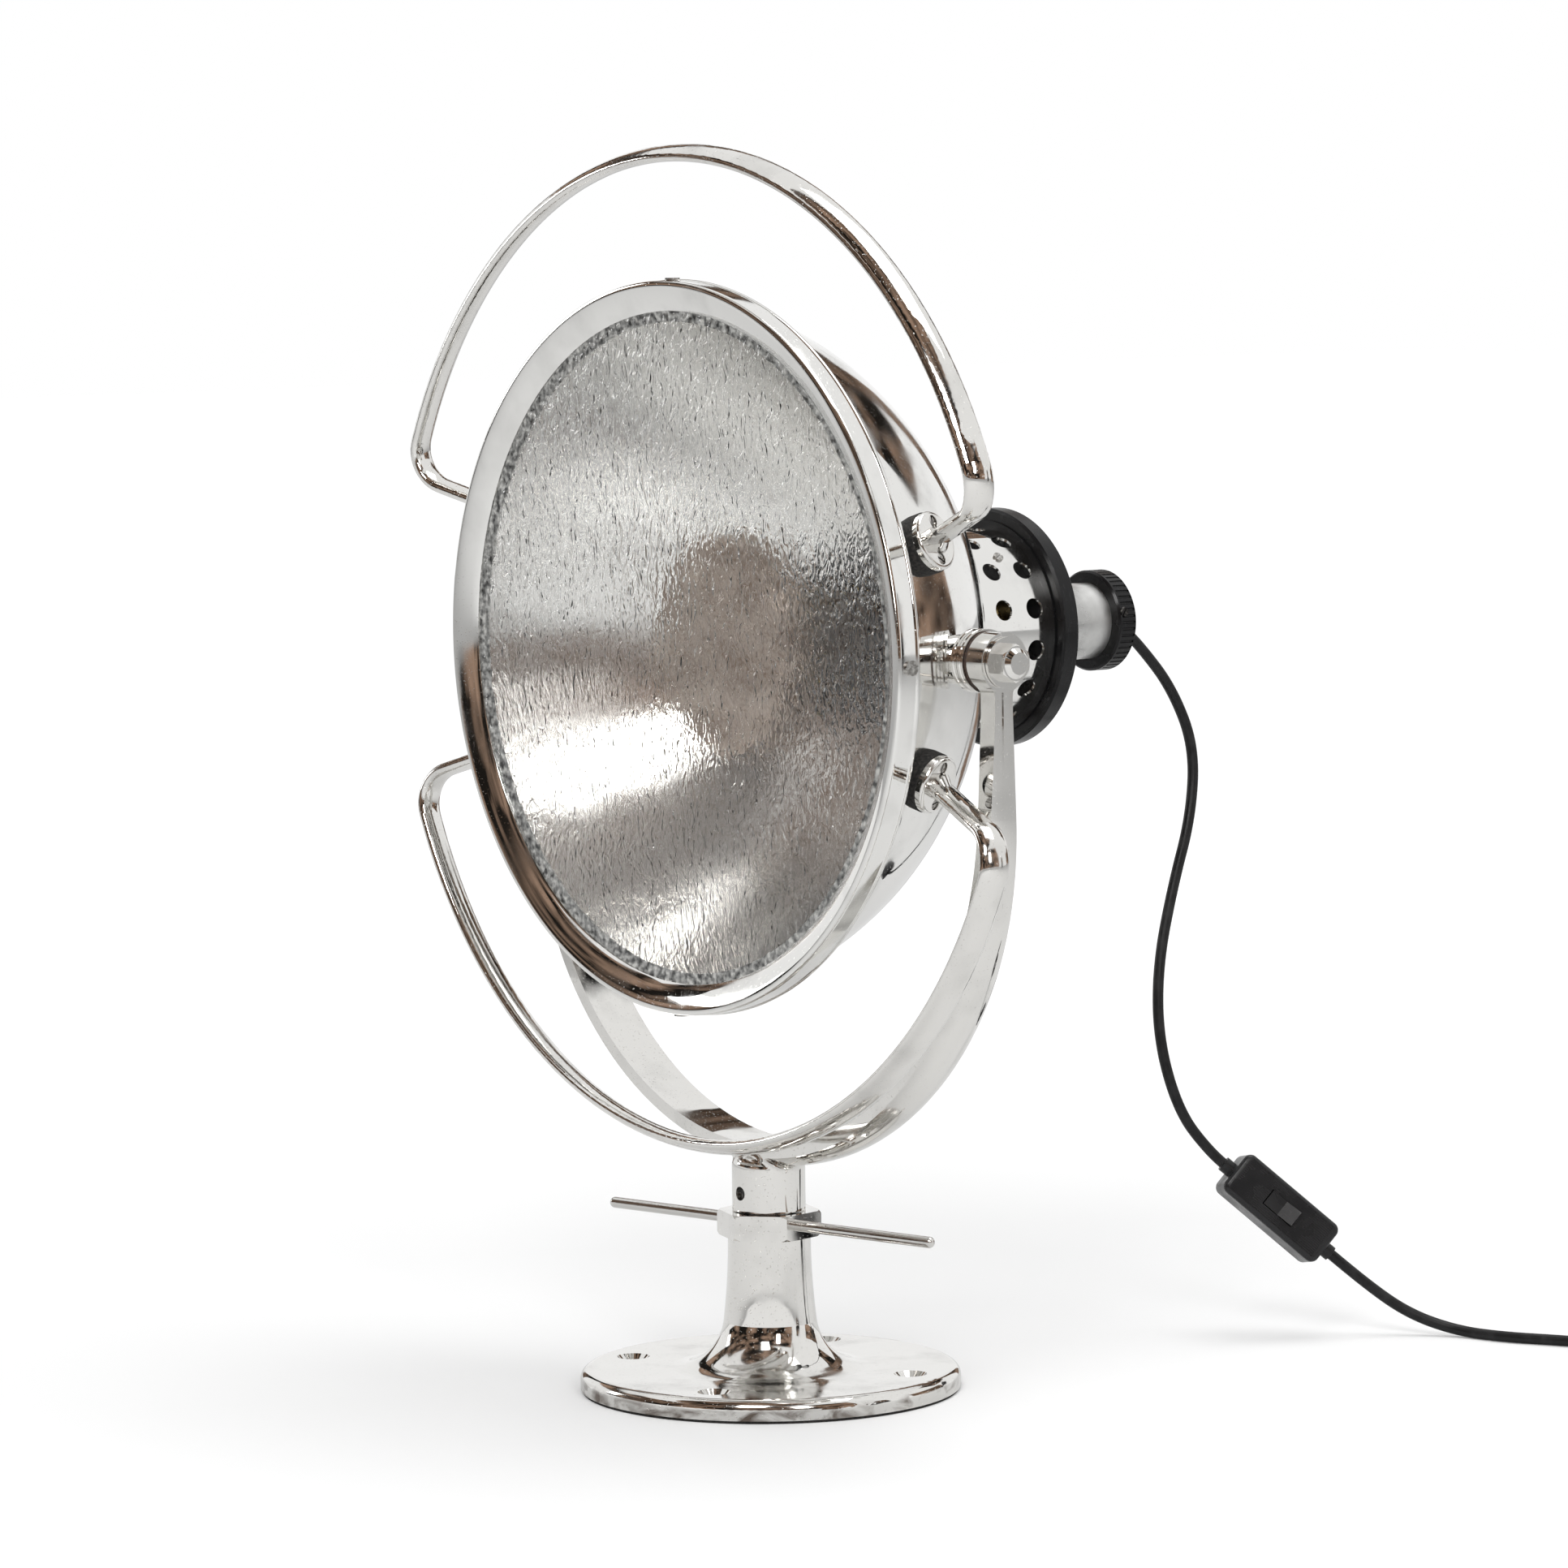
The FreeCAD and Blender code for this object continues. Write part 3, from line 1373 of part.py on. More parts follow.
def make_switch():
    """Inline rocker switch: two moulded halves on a parting plane, with necks for the cord."""
    run, face = SWITCH_RUN, SWITCH_FACE
    across = face.cross(run)
    frame = Placement(FreeCAD.Matrix(
        run.x, across.x, face.x, SWITCH_PLACE.x,
        run.y, across.y, face.y, SWITCH_PLACE.y,
        run.z, across.z, face.z, SWITCH_PLACE.z,
        0, 0, 0, 1,
    ))
    half_length = size.switch_length / 2
    half_width = size.switch_width / 2
    corner = size.switch_round
    for label, offset in (("switch_top", None), ("switch_bottom", -size.switch_depth / 2)):
        body = new_body(label)
        body.Placement = frame
        sketch = new_sketch(body, f"{label}_outline", "XY_Plane", offset)
        outline(
            sketch,
            [
                (half_length - corner, -half_width),
                (half_length, corner - half_width, corner),
                (half_length, half_width - corner),
                (half_length - corner, half_width, corner),
                (corner - half_length, half_width),
                (-half_length, half_width - corner, corner),
                (-half_length, corner - half_width),
                (corner - half_length, -half_width, corner),
            ],
        )
        pad(body, sketch, size.switch_depth / 2)
        up = 1 if label == "switch_top" else -1
        neck = size.switch_neck_radius
        half_disc = [(-neck * up, 0, neck), (neck * up, 0), (0, neck * up, neck)]
        for start in (half_length, -(half_length + size.switch_neck_length)):
            stub = new_sketch(body, f"{label}_neck_{len(body.Group)}", "YZ_Plane", start)
            outline(stub, half_disc)
            pad(body, stub, size.switch_neck_length)
        face_height = size.switch_depth / 2 * up
        round_edges(body, size.switch_edge, lambda edge, level=face_height.value: on_level(edge, level))
        if up > 0:
            open_switch(body, face_height)
    make_rocker(frame)


def oblong(sketch, from_along, to_along, from_across, to_across):
    """A rectangle between two places along and two across."""
    outline(
        sketch,
        [
            (from_along, from_across),
            (to_along, from_across),
            (to_along, to_across),
            (from_along, to_across),
        ],
    )


def open_switch(body, face_height):
    """Cut the grip lines, the rocker's well and the seats of its pins into the upper half."""
    lines = new_sketch(body, "switch_grip_line", "XY_Plane", face_height)
    reach = size.switch_length / 2 - size.switch_edge * 1.5
    first = -size.switch_groove_field / 2
    oblong(lines, -reach, reach, first, first + size.switch_groove_width)
    groove = pocket(body, lines, length=size.switch_groove_depth)
    in_a_row(body, groove, "Y_Axis", size.switch_groove_field, size.switch_groove_count)

    well = new_sketch(body, "switch_opening", "XY_Plane", face_height)
    across = size.rocker_width / 2 + size.body_gap
    along = size.rocker_length / 2 + size.body_gap * 2
    oblong(well, -along, along, -across, across)
    pocket(body, well, length=size.rocker_depth)
    seats = new_sketch(body, "switch_pin_seats", "XZ_Plane")
    round_hole(seats, 0, rocker_axis, size.rocker_pin_radius + size.run_clearance)
    pin_span = size.rocker_width + size.rocker_pin_length * 2
    pocket(body, seats, length=pin_span + size.body_gap * 2, both=True)


def make_rocker(frame):
    """A two-way rocker whose top dips at its middle, hung on pins across the switch's face."""
    rocker = new_body("switch_rocker")
    rocker.Placement = frame
    half = size.rocker_length / 2
    face = size.switch_depth / 2
    low = face - size.rocker_depth + size.rocker_rise
    profile = new_sketch(rocker, "rocker_profile", "XZ_Plane")
    outline(
        profile,
        [
            (-half, low),
            (0, low - size.rocker_belly),
            (half, low),
            (half, face + size.rocker_rise),
            (0, face + size.rocker_saddle),
            (-half, face + size.rocker_low_end),
        ],
    )
    pad(rocker, profile, size.rocker_width, middle=True)
    pins = new_sketch(rocker, "rocker_pins", "XZ_Plane")
    round_hole(pins, 0, rocker_axis, size.rocker_pin_radius)
    pad(rocker, pins, size.rocker_width + size.rocker_pin_length * 2, middle=True)


def main():
    make_base()
    make_clamp()
    make_yoke()
    outer_form = bowl_form("bowl_outer_form", as_size(0))
    inner_form = bowl_form("bowl_inner_form", size.bowl_wall)
    make_bezel()
    make_bowl()
    make_pivot("right", None, outer_form, inner_form)
    make_pivot("left", as_size(180), outer_form, inner_form)
    make_rear()
    make_focus()
    doc.recompute()
    feet = make_guard("guard_upper", 1, SIZES["guard_upper_reach"], SIZES["guard_upper_plane"])
    feet += make_guard("guard_lower", -1, SIZES["guard_lower_reach"], SIZES["guard_lower_plane"])
    for number, (place, direction) in enumerate(feet, start=1):
        make_foot_gasket(number, place, direction, outer_form)
    make_tube("cord_upper", CORD_UPPER)
    make_switch()
    make_tube("cord_lower", CORD_LOWER)
    make_coil()
    doc.recompute()
    write_parts()


def write_parts():
    """Write each sub-part as one STEP file; one that isn't a single valid solid is an error."""
    failed = [thing.Name for thing in doc.Objects if {"Invalid", "Error"} & set(thing.State)]
    for part in PARTS:
        pieces = 2 if part.Label == "plug_pins" else 1
        if not part.Shape.isValid() or len(part.Shape.Solids) != pieces:
            failed.append(part.Label)
    if failed:
        raise RuntimeError(f"these did not build: {failed}")
    os.makedirs("parts", exist_ok=True)
    for part in PARTS:
        part.Shape.exportStep(f"parts/{part.Label}.step")
    print(len(PARTS), "parts")


main()
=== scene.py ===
import math

import bpy
from mathutils import Matrix, Vector


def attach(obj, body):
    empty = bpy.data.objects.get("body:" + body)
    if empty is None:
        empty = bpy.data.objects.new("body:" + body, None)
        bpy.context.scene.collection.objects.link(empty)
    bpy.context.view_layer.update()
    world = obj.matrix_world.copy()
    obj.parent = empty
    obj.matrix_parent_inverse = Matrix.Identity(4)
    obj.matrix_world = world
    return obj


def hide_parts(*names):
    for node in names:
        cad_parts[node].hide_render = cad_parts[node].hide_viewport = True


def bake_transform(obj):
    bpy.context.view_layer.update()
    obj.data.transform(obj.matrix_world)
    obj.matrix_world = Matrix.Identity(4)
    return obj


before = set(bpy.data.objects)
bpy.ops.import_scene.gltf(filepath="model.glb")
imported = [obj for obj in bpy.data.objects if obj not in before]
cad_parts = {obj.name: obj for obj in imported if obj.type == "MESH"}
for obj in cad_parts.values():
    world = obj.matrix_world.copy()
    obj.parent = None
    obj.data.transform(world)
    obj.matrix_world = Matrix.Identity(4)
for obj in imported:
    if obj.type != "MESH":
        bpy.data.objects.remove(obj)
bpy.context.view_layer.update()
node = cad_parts

# The pedestal is one heavy casting, buffed bright by hand: a round foot that flares up into
# a column. Slow waves and small pits are left from the buffing, and near the floor the foot's
# rim turns darker, in brown-black clouds. It stands on a thin pad of black fibre and takes four
# countersunk screws.


def finish_material(name, color, metallic, roughness):
    """A new plain surface, to build patterns on."""
    material = bpy.data.materials.new(name)
    material.use_nodes = True
    set_plain(material, "Base Color", (*color, 1))
    set_plain(material, "Metallic", metallic)
    set_plain(material, "Roughness", roughness)
    return material


def shader_of(material):
    """The part of a surface that holds its colour, gloss and relief."""
    return material.node_tree.nodes["Principled BSDF"]


def set_plain(material, socket, value):
    """Give a surface one value that is the same all over it."""
    shader_of(material).inputs[socket].default_value = value


def vary(material, socket, pattern):
    """Let a pattern drive one of a surface's values."""
    material.node_tree.links.new(pattern, shader_of(material).inputs[socket])


def noise(material, scale, detail=2.0, stretch=(1, 1, 1), swirl=0.0):
    """A cloud pattern fixed to the piece; stretch draws it out, swirl bends it."""
    nodes, links = material.node_tree.nodes, material.node_tree.links
    place = nodes.new("ShaderNodeTexCoord")
    mapping = nodes.new("ShaderNodeMapping")
    mapping.inputs["Scale"].default_value = stretch
    texture = nodes.new("ShaderNodeTexNoise")
    texture.inputs["Scale"].default_value = scale
    texture.inputs["Detail"].default_value = detail
    texture.inputs["Distortion"].default_value = swirl
    links.new(place.outputs["Object"], mapping.inputs["Vector"])
    links.new(mapping.outputs["Vector"], texture.inputs["Vector"])
    return texture.outputs["Fac"]


def ramp(material, value, low, high, start=0.0, end=1.0):
    """Stretch a pattern between low and high over the part of it from start to end."""
    spread = material.node_tree.nodes.new("ShaderNodeMapRange")
    spread.inputs["From Min"].default_value = start
    spread.inputs["From Max"].default_value = end
    spread.inputs["To Min"].default_value = low
    spread.inputs["To Max"].default_value = high
    material.node_tree.links.new(value, spread.inputs["Value"])
    return spread.outputs["Result"]


def combine(material, operation, first, second):
    """Add or multiply two patterns."""
    result = material.node_tree.nodes.new("ShaderNodeMath")
    result.operation = operation
    material.node_tree.links.new(first, result.inputs[0])
    material.node_tree.links.new(second, result.inputs[1])
    return result.outputs["Value"]


def tint(material, value, first, second, start=0.0, end=1.0):
    """Blend two colours by a pattern."""
    blend = material.node_tree.nodes.new("ShaderNodeMix")
    blend.data_type = "RGBA"
    blend.inputs["A"].default_value = (*first, 1)
    blend.inputs["B"].default_value = (*second, 1)
    share = ramp(material, value, 0, 1, start, end)
    material.node_tree.links.new(share, blend.inputs["Factor"])
    return blend.outputs["Result"]


def mottle(material, pattern, first, second, start=0.0, end=1.0):
    """Let the colour run from the first to the second by a pattern."""
    vary(material, "Base Color", tint(material, pattern, first, second, start, end))


def dull(material, pattern, low, high, start=0.0, end=1.0):
    """Let the roughness run from low to high by a pattern."""
    vary(material, "Roughness", ramp(material, pattern, low, high, start, end))


def relief(material, height, strength, distance, before=None):
    """Raise a pattern on the surface, on top of an earlier relief if there is one."""
    bump = material.node_tree.nodes.new("ShaderNodeBump")
    bump.inputs["Strength"].default_value = strength
    bump.inputs["Distance"].default_value = distance
    material.node_tree.links.new(height, bump.inputs["Height"])
    if before is not None:
        material.node_tree.links.new(before, bump.inputs["Normal"])
    vary(material, "Normal", bump.outputs["Normal"])
    return bump.outputs["Normal"]


def polished_casting(name, color, wave, pits):
    """Buffed metal: slow hand-polished waves, small pits and a soft haze."""
    metal = finish_material(name, color, 1.0, 0.07)
    haze = noise(metal, 35, 4)
    dull(metal, haze, 0.03, 0.19, 0.42, 0.72)
    mottle(metal, haze, color, [part * 0.84 for part in color], 0.5, 0.8)
    waves = relief(metal, noise(metal, 22, 1), 1.0, wave)
    specks = ramp(metal, noise(metal, 850, 1), 1, 0, 0.7, 0.74)
    relief(metal, specks, pits, 0.0003, waves)
    return metal


def coat(piece, material):
    """Give a piece this one surface in place of what it had."""
    piece.data.materials.clear()
    piece.data.materials.append(material)


BUFFED = (0.74, 0.73, 0.705)
RIM_DARKEST_TO = 0.006
RIM_PLAIN_FROM = 0.0105
casting = polished_casting("polished_casting", BUFFED, wave=0.0006, pits=0.5)
pedestal_metal = polished_casting("pedestal_metal", BUFFED, wave=0.0006, pits=0.6)
metal_nodes, metal_links = pedestal_metal.node_tree.nodes, pedestal_metal.node_tree.links
metal_place = metal_nodes.new("ShaderNodeTexCoord")
metal_height = metal_nodes.new("ShaderNodeSeparateXYZ")
metal_links.new(metal_place.outputs["Object"], metal_height.inputs["Vector"])
# Near the floor the foot turns darker: below 10.5 mm it fades into brown-black clouds, fully dark
# by 6 mm.
near_floor = ramp(
    pedestal_metal, metal_height.outputs["Z"], 1, 0, RIM_DARKEST_TO, RIM_PLAIN_FROM
)
clouds = noise(pedestal_metal, 48, 6, (1, 1, 2.2), 0.6)
rim_dark_patches = ramp(pedestal_metal, clouds, 0, 1, 0.43, 0.6)
rim_darkened = metal_nodes.new("ShaderNodeMix")
rim_darkened.data_type = "RGBA"
rim_darkened.inputs["B"].default_value = (0.16, 0.13, 0.11, 1)
undarkened_color = shader_of(pedestal_metal).inputs["Base Color"].links[0].from_socket
metal_links.new(undarkened_color, rim_darkened.inputs["A"])
rim_darkening = combine(pedestal_metal, "MULTIPLY", near_floor, rim_dark_patches)
metal_links.new(rim_darkening, rim_darkened.inputs["Factor"])
vary(pedestal_metal, "Base Color", rim_darkened.outputs["Result"])
coat(node["base_pedestal"], pedestal_metal)

dark_fibre = finish_material("dark_fibre", (0.016, 0.015, 0.014), 0.0, 0.8)
dark_weave = noise(dark_fibre, 620, 5)
mottle(dark_fibre, dark_weave, (0.008, 0.008, 0.008), (0.05, 0.045, 0.04), 0.4, 0.8)
relief(dark_fibre, dark_weave, 1.0, 0.0008)
coat(node["base_pad"], dark_fibre)

# The clamp is a cast hexagon nut with two bright steel bars to tighten it by hand. The split
# ring inside it grips the spindle of the yoke.

machined = finish_material("machined_steel", (0.66, 0.65, 0.63), 1.0, 0.16)
dull(machined, noise(machined, 60, 6), 0.1, 0.28, 0.3, 0.7)
relief(machined, noise(machined, 500, 3), 0.25, 0.0002)
for name in ("clamp_ring", "swivel_spindle", "tommy_bar_1", "tommy_bar_2"):
    coat(node[name], machined)
coat(node["clamp_nut"], casting)

# The yoke is one casting from stem to eyes, crowned on its outer side and buffed like the
# pedestal. A blackened set screw in its stem holds it on the spindle.

coat(node["yoke"], casting)
blackened = finish_material("blackened_steel", (0.09, 0.088, 0.085), 1.0, 0.3)
black_wear = noise(blackened, 600, 4)
mottle(blackened, black_wear, (0.03, 0.029, 0.028), (0.2, 0.19, 0.18), 0.5, 0.75)
coat(node["stem_set_screw"], blackened)

# The pivots: turned bosses and grooved rings on the bowl, bright washers and hexagon bolts
# outside, and a washer of dark brown fibre that lets each eye turn under its bolt.

turned_bright = polished_casting("turned_bright", BUFFED, wave=0.0001, pits=0.3)
brown_fibre = finish_material("brown_fibre", (0.05, 0.028, 0.02), 0.0, 0.6)
brown_grain = noise(brown_fibre, 700, 4)
mottle(brown_fibre, brown_grain, (0.02, 0.012, 0.009), (0.09, 0.05, 0.035), 0.35, 0.7)
relief(brown_fibre, brown_grain, 0.5, 0.0004)
for side in ("right", "left"):
    coat(node[f"fibre_washer_{side}"], brown_fibre)
    for piece in ("pivot_boss", "tilt_ring_inner", "tilt_ring_outer", "pivot_washer", "pivot_bolt"):
        coat(node[f"{piece}_{side}"], turned_bright)
    for piece in ("pivot_backing", "pivot_nut"):
        coat(node[f"{piece}_{side}"], machined)

# The bowl is spun from sheet, and so is the collar behind it with its two rows of vents.
# Both are mirror polished. Three small slotted screws hold the collar to the cap's spigot.

sheet_metal = polished_casting("spun_sheet", (0.77, 0.765, 0.745), wave=0.00035, pits=0.12)
for name in ("bowl_shell", "vent_collar"):
    coat(node[name], sheet_metal)

HEAD_HEIGHT = 0.428
SMOOTH_BELOW = math.radians(35)


def select_only(piece):
    """Leave this piece as the only one selected, and work on it."""
    bpy.ops.object.select_all(action="DESELECT")
    piece.select_set(True)
    bpy.context.view_layer.objects.active = piece


def apply_all(piece):
    """Apply each modifier in turn, so that the mesh itself has their shape."""
    select_only(piece)
    for modifier in list(piece.modifiers):
        bpy.ops.object.modifier_apply(modifier=modifier.name)


def round_corners(piece, width, least_angle):
    """Soften every edge that is sharper than least_angle, as tooling and polishing leave it."""
    bevel = piece.modifiers.new("round_corners", "BEVEL")
    bevel.width = width
    bevel.segments = 3
    bevel.limit_method = "ANGLE"
    bevel.angle_limit = least_angle
    apply_all(piece)
    bpy.ops.object.shade_smooth_by_angle(angle=SMOOTH_BELOW)


def stand(piece, place, outward, roll):
    """Set a piece modelled along Z on its place, its Z turned outward, and bake that in."""
    turn = Vector(outward).to_track_quat("Z", "Y").to_matrix().to_4x4()
    spin = Matrix.Rotation(roll, 4, "Z")
    piece.data.transform(Matrix.Translation(Vector(place)) @ turn @ spin)
    piece.data.update()


def stand_round_beam(piece, bearing, radius, along, roll):
    """Stand a piece on a round part of the head, at a bearing in degrees round the beam."""
    angle = math.radians(bearing)
    outward = (math.cos(angle), 0, math.sin(angle))
    place = (radius * outward[0], along, HEAD_HEIGHT + radius * outward[2])
    stand(piece, place, outward, roll)


def slotted_screw(name, finish, radius, height, slot_width, slot_depth):
    """A low screw head with a sawn slot and soft edges, modelled at the origin along Z."""
    bpy.ops.object.select_all(action="DESELECT")
    bpy.ops.mesh.primitive_cylinder_add(
        vertices=48, radius=radius, depth=height, location=(0, 0, height / 2)
    )
    head = bpy.context.object
    head.name = name
    bpy.ops.object.transform_apply(location=True, rotation=True, scale=True)
    bpy.ops.object.select_all(action="DESELECT")
    bpy.ops.mesh.primitive_cube_add(size=1, location=(0, 0, height))
    saw = bpy.context.object
    saw.scale = (radius * 2.4, slot_width, slot_depth * 2)
    cut = head.modifiers.new("slot", "BOOLEAN")
    cut.operation = "DIFFERENCE"
    cut.object = saw
    apply_all(head)
    bpy.data.objects.remove(saw, do_unlink=True)
    round_corners(head, radius * 0.09, math.radians(40))
    coat(head, finish)
    return head


def with_copies(pattern, name, count):
    """A modelled piece and its copies, numbered from 1, each with a mesh of its own."""
    pieces = [pattern]
    for number in range(2, count + 1):
        twin = pattern.copy()
        twin.data = pattern.data.copy()
        twin.name = f"{name}_{number}"
        bpy.context.scene.collection.objects.link(twin)
        pieces.append(twin)
    return pieces


aged_steel = finish_material("aged_steel", (0.4, 0.39, 0.37), 1.0, 0.28)
aged_wear = noise(aged_steel, 420, 4)
mottle(aged_steel, aged_wear, (0.24, 0.23, 0.215), (0.56, 0.55, 0.53), 0.4, 0.65)
relief(aged_steel, aged_wear, 0.3, 0.0002)

COLLAR_SCREW_BEARINGS = (48.5, 168.5, 288.5)
COLLAR_SCREW_RADIUS = 0.0578
COLLAR_SCREW_ALONG = 0.1428
collar_screw = slotted_screw(
    "collar_screw_1", aged_steel, radius=0.003, height=0.0013, slot_width=0.0008, slot_depth=0.0007
)
collar_screws = with_copies(collar_screw, "collar_screw", 3)
for screw, bearing in zip(collar_screws, COLLAR_SCREW_BEARINGS):
    stand_round_beam(screw, bearing, COLLAR_SCREW_RADIUS, COLLAR_SCREW_ALONG, roll=0.5)
    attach(screw, "head")

# The bezel is a spun ring with a crowned face, a rolled front edge and a fine bead at its
# back. Four screws hold it on the bowl, and the rippled glass sits in it on a grey gasket,
# which is given a faint painted glow in place of the light it gets through the glass.

BEZEL_PROFILE = (
    (0.2038, -0.0560),
    (0.2038, -0.0614),
    (0.1890, -0.0614),
    (0.1890, -0.0624),
    (0.1896, -0.0631),
    (0.1925, -0.0649),
    (0.1960, -0.0668),
    (0.1995, -0.0683),
    (0.2025, -0.0692),
    (0.2042, -0.0694),
    (0.2053, -0.0690),
    (0.2059, -0.0681),
    (0.2060, -0.0668),
    (0.2060, -0.0574),
    (0.2064, -0.0569),
    (0.2067, -0.0561),
    (0.2066, -0.0552),
    (0.2061, -0.0545),
    (0.1972, -0.0545),
    (0.1972, -0.0560),
)


def spun(name, profile, steps, height, closed=True):
    """Spin a profile, given as radius and place along the beam, round an axis at a height."""
    mesh = bpy.data.meshes.new(name)
    count = len(profile)
    edges = [(step, (step + 1) % count) for step in range(count if closed else count - 1)]
    mesh.from_pydata([(radius, along, height) for radius, along in profile], edges, [])
    piece = bpy.data.objects.new(name, mesh)
    bpy.context.scene.collection.objects.link(piece)
    select_only(piece)
    bpy.ops.object.mode_set(mode="EDIT")
    bpy.ops.mesh.select_all(action="SELECT")
    bpy.ops.mesh.spin(steps=steps, angle=math.tau, center=(0, 0, height), axis=(0, 1, 0))
    bpy.ops.mesh.select_all(action="SELECT")
    bpy.ops.mesh.remove_doubles(threshold=0.00001)
    bpy.ops.mesh.normals_make_consistent(inside=False)
    bpy.ops.object.mode_set(mode="OBJECT")
    bpy.ops.object.shade_smooth_by_angle(angle=SMOOTH_BELOW)
    return piece


bezel = spun("spun_bezel", BEZEL_PROFILE, steps=360, height=HEAD_HEIGHT)
coat(bezel, sheet_metal)
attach(bezel, "head")
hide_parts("bezel")
for number in range(1, 5):
    coat(node[f"bezel_screw_{number}"], aged_steel)

gasket_with_painted_glow = finish_material("gasket_with_painted_glow", (0.4, 0.4, 0.39), 0.3, 0.5)
felt_and_glow = noise(gasket_with_painted_glow, 260, 5)
mottle(gasket_with_painted_glow, felt_and_glow, (0.16, 0.16, 0.155), (0.62, 0.61, 0.59), 0.35, 0.65)
# The gasket glows faintly in its felt pattern: painted light, standing in for the light that
# reaches it through the glass.
set_plain(gasket_with_painted_glow, "Emission Color", (0.5, 0.5, 0.49, 1))
vary(gasket_with_painted_glow, "Emission Strength", ramp(gasket_with_painted_glow, felt_and_glow, 0.05, 0.5, 0.35, 0.65))
relief(gasket_with_painted_glow, felt_and_glow, 0.7, 0.0006)
coat(node["front_gasket"], gasket_with_painted_glow)

rippled_glass = finish_material("rippled_glass", (0.98, 0.985, 0.98), 0.0, 0.015)
set_plain(rippled_glass, "Transmission Weight", 1.0)
set_plain(rippled_glass, "IOR", 1.5)
worms = noise(rippled_glass, 165, 1.0, (1, 1, 0.6), 1.6)
ripples = relief(rippled_glass, worms, 1.0, 0.0007)
relief(rippled_glass, noise(rippled_glass, 30, 1), 1.0, 0.0009, ripples)
coat(node["glass"], rippled_glass)

# Behind the glass the reflector is a deep polished dish with a satin haze. The lamp in its
# middle has a frosted, faintly brown face, and its holder slides with the focus tube.

mirror = finish_material("reflector_mirror", (0.92, 0.91, 0.89), 1.0, 0.14)
dull(mirror, noise(mirror, 14, 5), 0.15, 0.28, 0.35, 0.7)
relief(mirror, noise(mirror, 26, 2), 1.0, 0.0012)
coat(node["reflector"], mirror)

lamp_face = finish_material("lamp_face", (0.5, 0.4, 0.33), 0.85, 0.4)
mottle(lamp_face, noise(lamp_face, 55, 4), (0.36, 0.27, 0.21), (0.66, 0.56, 0.48), 0.35, 0.65)
relief(lamp_face, noise(lamp_face, 130, 2, (1, 1, 0.5), 1.0), 1.0, 0.0016)
coat(node["bulb"], lamp_face)

# The guards are crowned bars bent round the bezel. Each ends in two round flanged feet on
# thick discs of black fibre, and each foot is held by two slotted screws sunk in recesses.

for name in ("guard_upper", "guard_lower"):
    coat(node[name], casting)
for number in range(1, 5):
    coat(node[f"guard_gasket_{number}"], dark_fibre)

FOOT = Vector((0.18547, -0.0297, 0.06531))
FOOT_NORMAL = Vector((0.9020, 0.2924, 0.3176))
FOOT_ACROSS = Vector((-0.3322, 0, 0.9432))
RECESS_FLOOR = 0.002
SCREW_SPACING = 0.021
SLOT_TURN = 1.3
flange_screw = slotted_screw(
    "flange_screw_1", aged_steel, radius=0.0031, height=0.0022, slot_width=0.001, slot_depth=0.0012
)
flange_screws = with_copies(flange_screw, "flange_screw", 8)
screw_places = [(up, side, way) for up in (1, -1) for side in (1, -1) for way in (1, -1)]
for number, (up, side, way) in enumerate(screw_places, start=1):
    screw = flange_screws[number - 1]
    spot = FOOT + FOOT_NORMAL * RECESS_FLOOR + FOOT_ACROSS * (way * SCREW_SPACING / 2)
    stand(
        screw,
        (spot.x * side, spot.y, spot.z * up + HEAD_HEIGHT),
        (FOOT_NORMAL.x * side, FOOT_NORMAL.y, FOOT_NORMAL.z * up),
        number * SLOT_TURN,
    )
    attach(screw, "head")

# The rear cap and the focus knob are black mouldings, satin with rubbed streaks. The tube
# between them is plain blotchy aluminium, and a grub screw holds the knob on it.

moulding = finish_material("black_moulding", (0.008, 0.008, 0.0085), 0.0, 0.2)
set_plain(moulding, "Specular IOR Level", 0.22)
dull(moulding, noise(moulding, 22, 6), 0.13, 0.36, 0.35, 0.7)
scuffs = noise(moulding, 160, 5, (1, 6, 1))
mottle(moulding, scuffs, (0.007, 0.007, 0.0075), (0.03, 0.03, 0.031), 0.6, 0.8)
relief(moulding, noise(moulding, 120, 3), 0.3, 0.0002)
for name in ("rear_cap", "focus_knob", "cord_grip", "lamp_holder"):
    coat(node[name], moulding)

bare = finish_material("bare_aluminium", (0.56, 0.56, 0.55), 1.0, 0.34)
blotch = noise(bare, 48, 6)
dull(bare, blotch, 0.22, 0.48, 0.35, 0.65)
mottle(bare, blotch, (0.42, 0.42, 0.41), (0.68, 0.68, 0.67), 0.35, 0.65)
relief(bare, noise(bare, 420, 4), 0.4, 0.0002)
for name in ("focus_tube", "bulb_base"):
    coat(node[name], bare)

brass = finish_material("turned_brass", (0.62, 0.46, 0.2), 1.0, 0.24)
dull(brass, noise(brass, 90, 4), 0.16, 0.38)
coat(node["guide_bush"], brass)

GRUB_BEARING = 12.5
GRUB_RADIUS = 0.0291
GRUB_ALONG = 0.2475
# The grub screw's dark steel is partly its own blackened finish and partly painted shade, standing
# in for the dark hole round it.
grub_screw = slotted_screw(
    "knob_grub_screw", blackened, radius=0.0028, height=0.0012, slot_width=0.0009, slot_depth=0.0009
)
stand_round_beam(grub_screw, GRUB_BEARING, GRUB_RADIUS, GRUB_ALONG, roll=0.9)
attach(grub_screw, "focus")

# The cord is round black rubber, 6.5 mm thick. Its upper length leaves the knob, swings out
# behind the lamp and falls to the switch. The one tube is parted just below the knob.

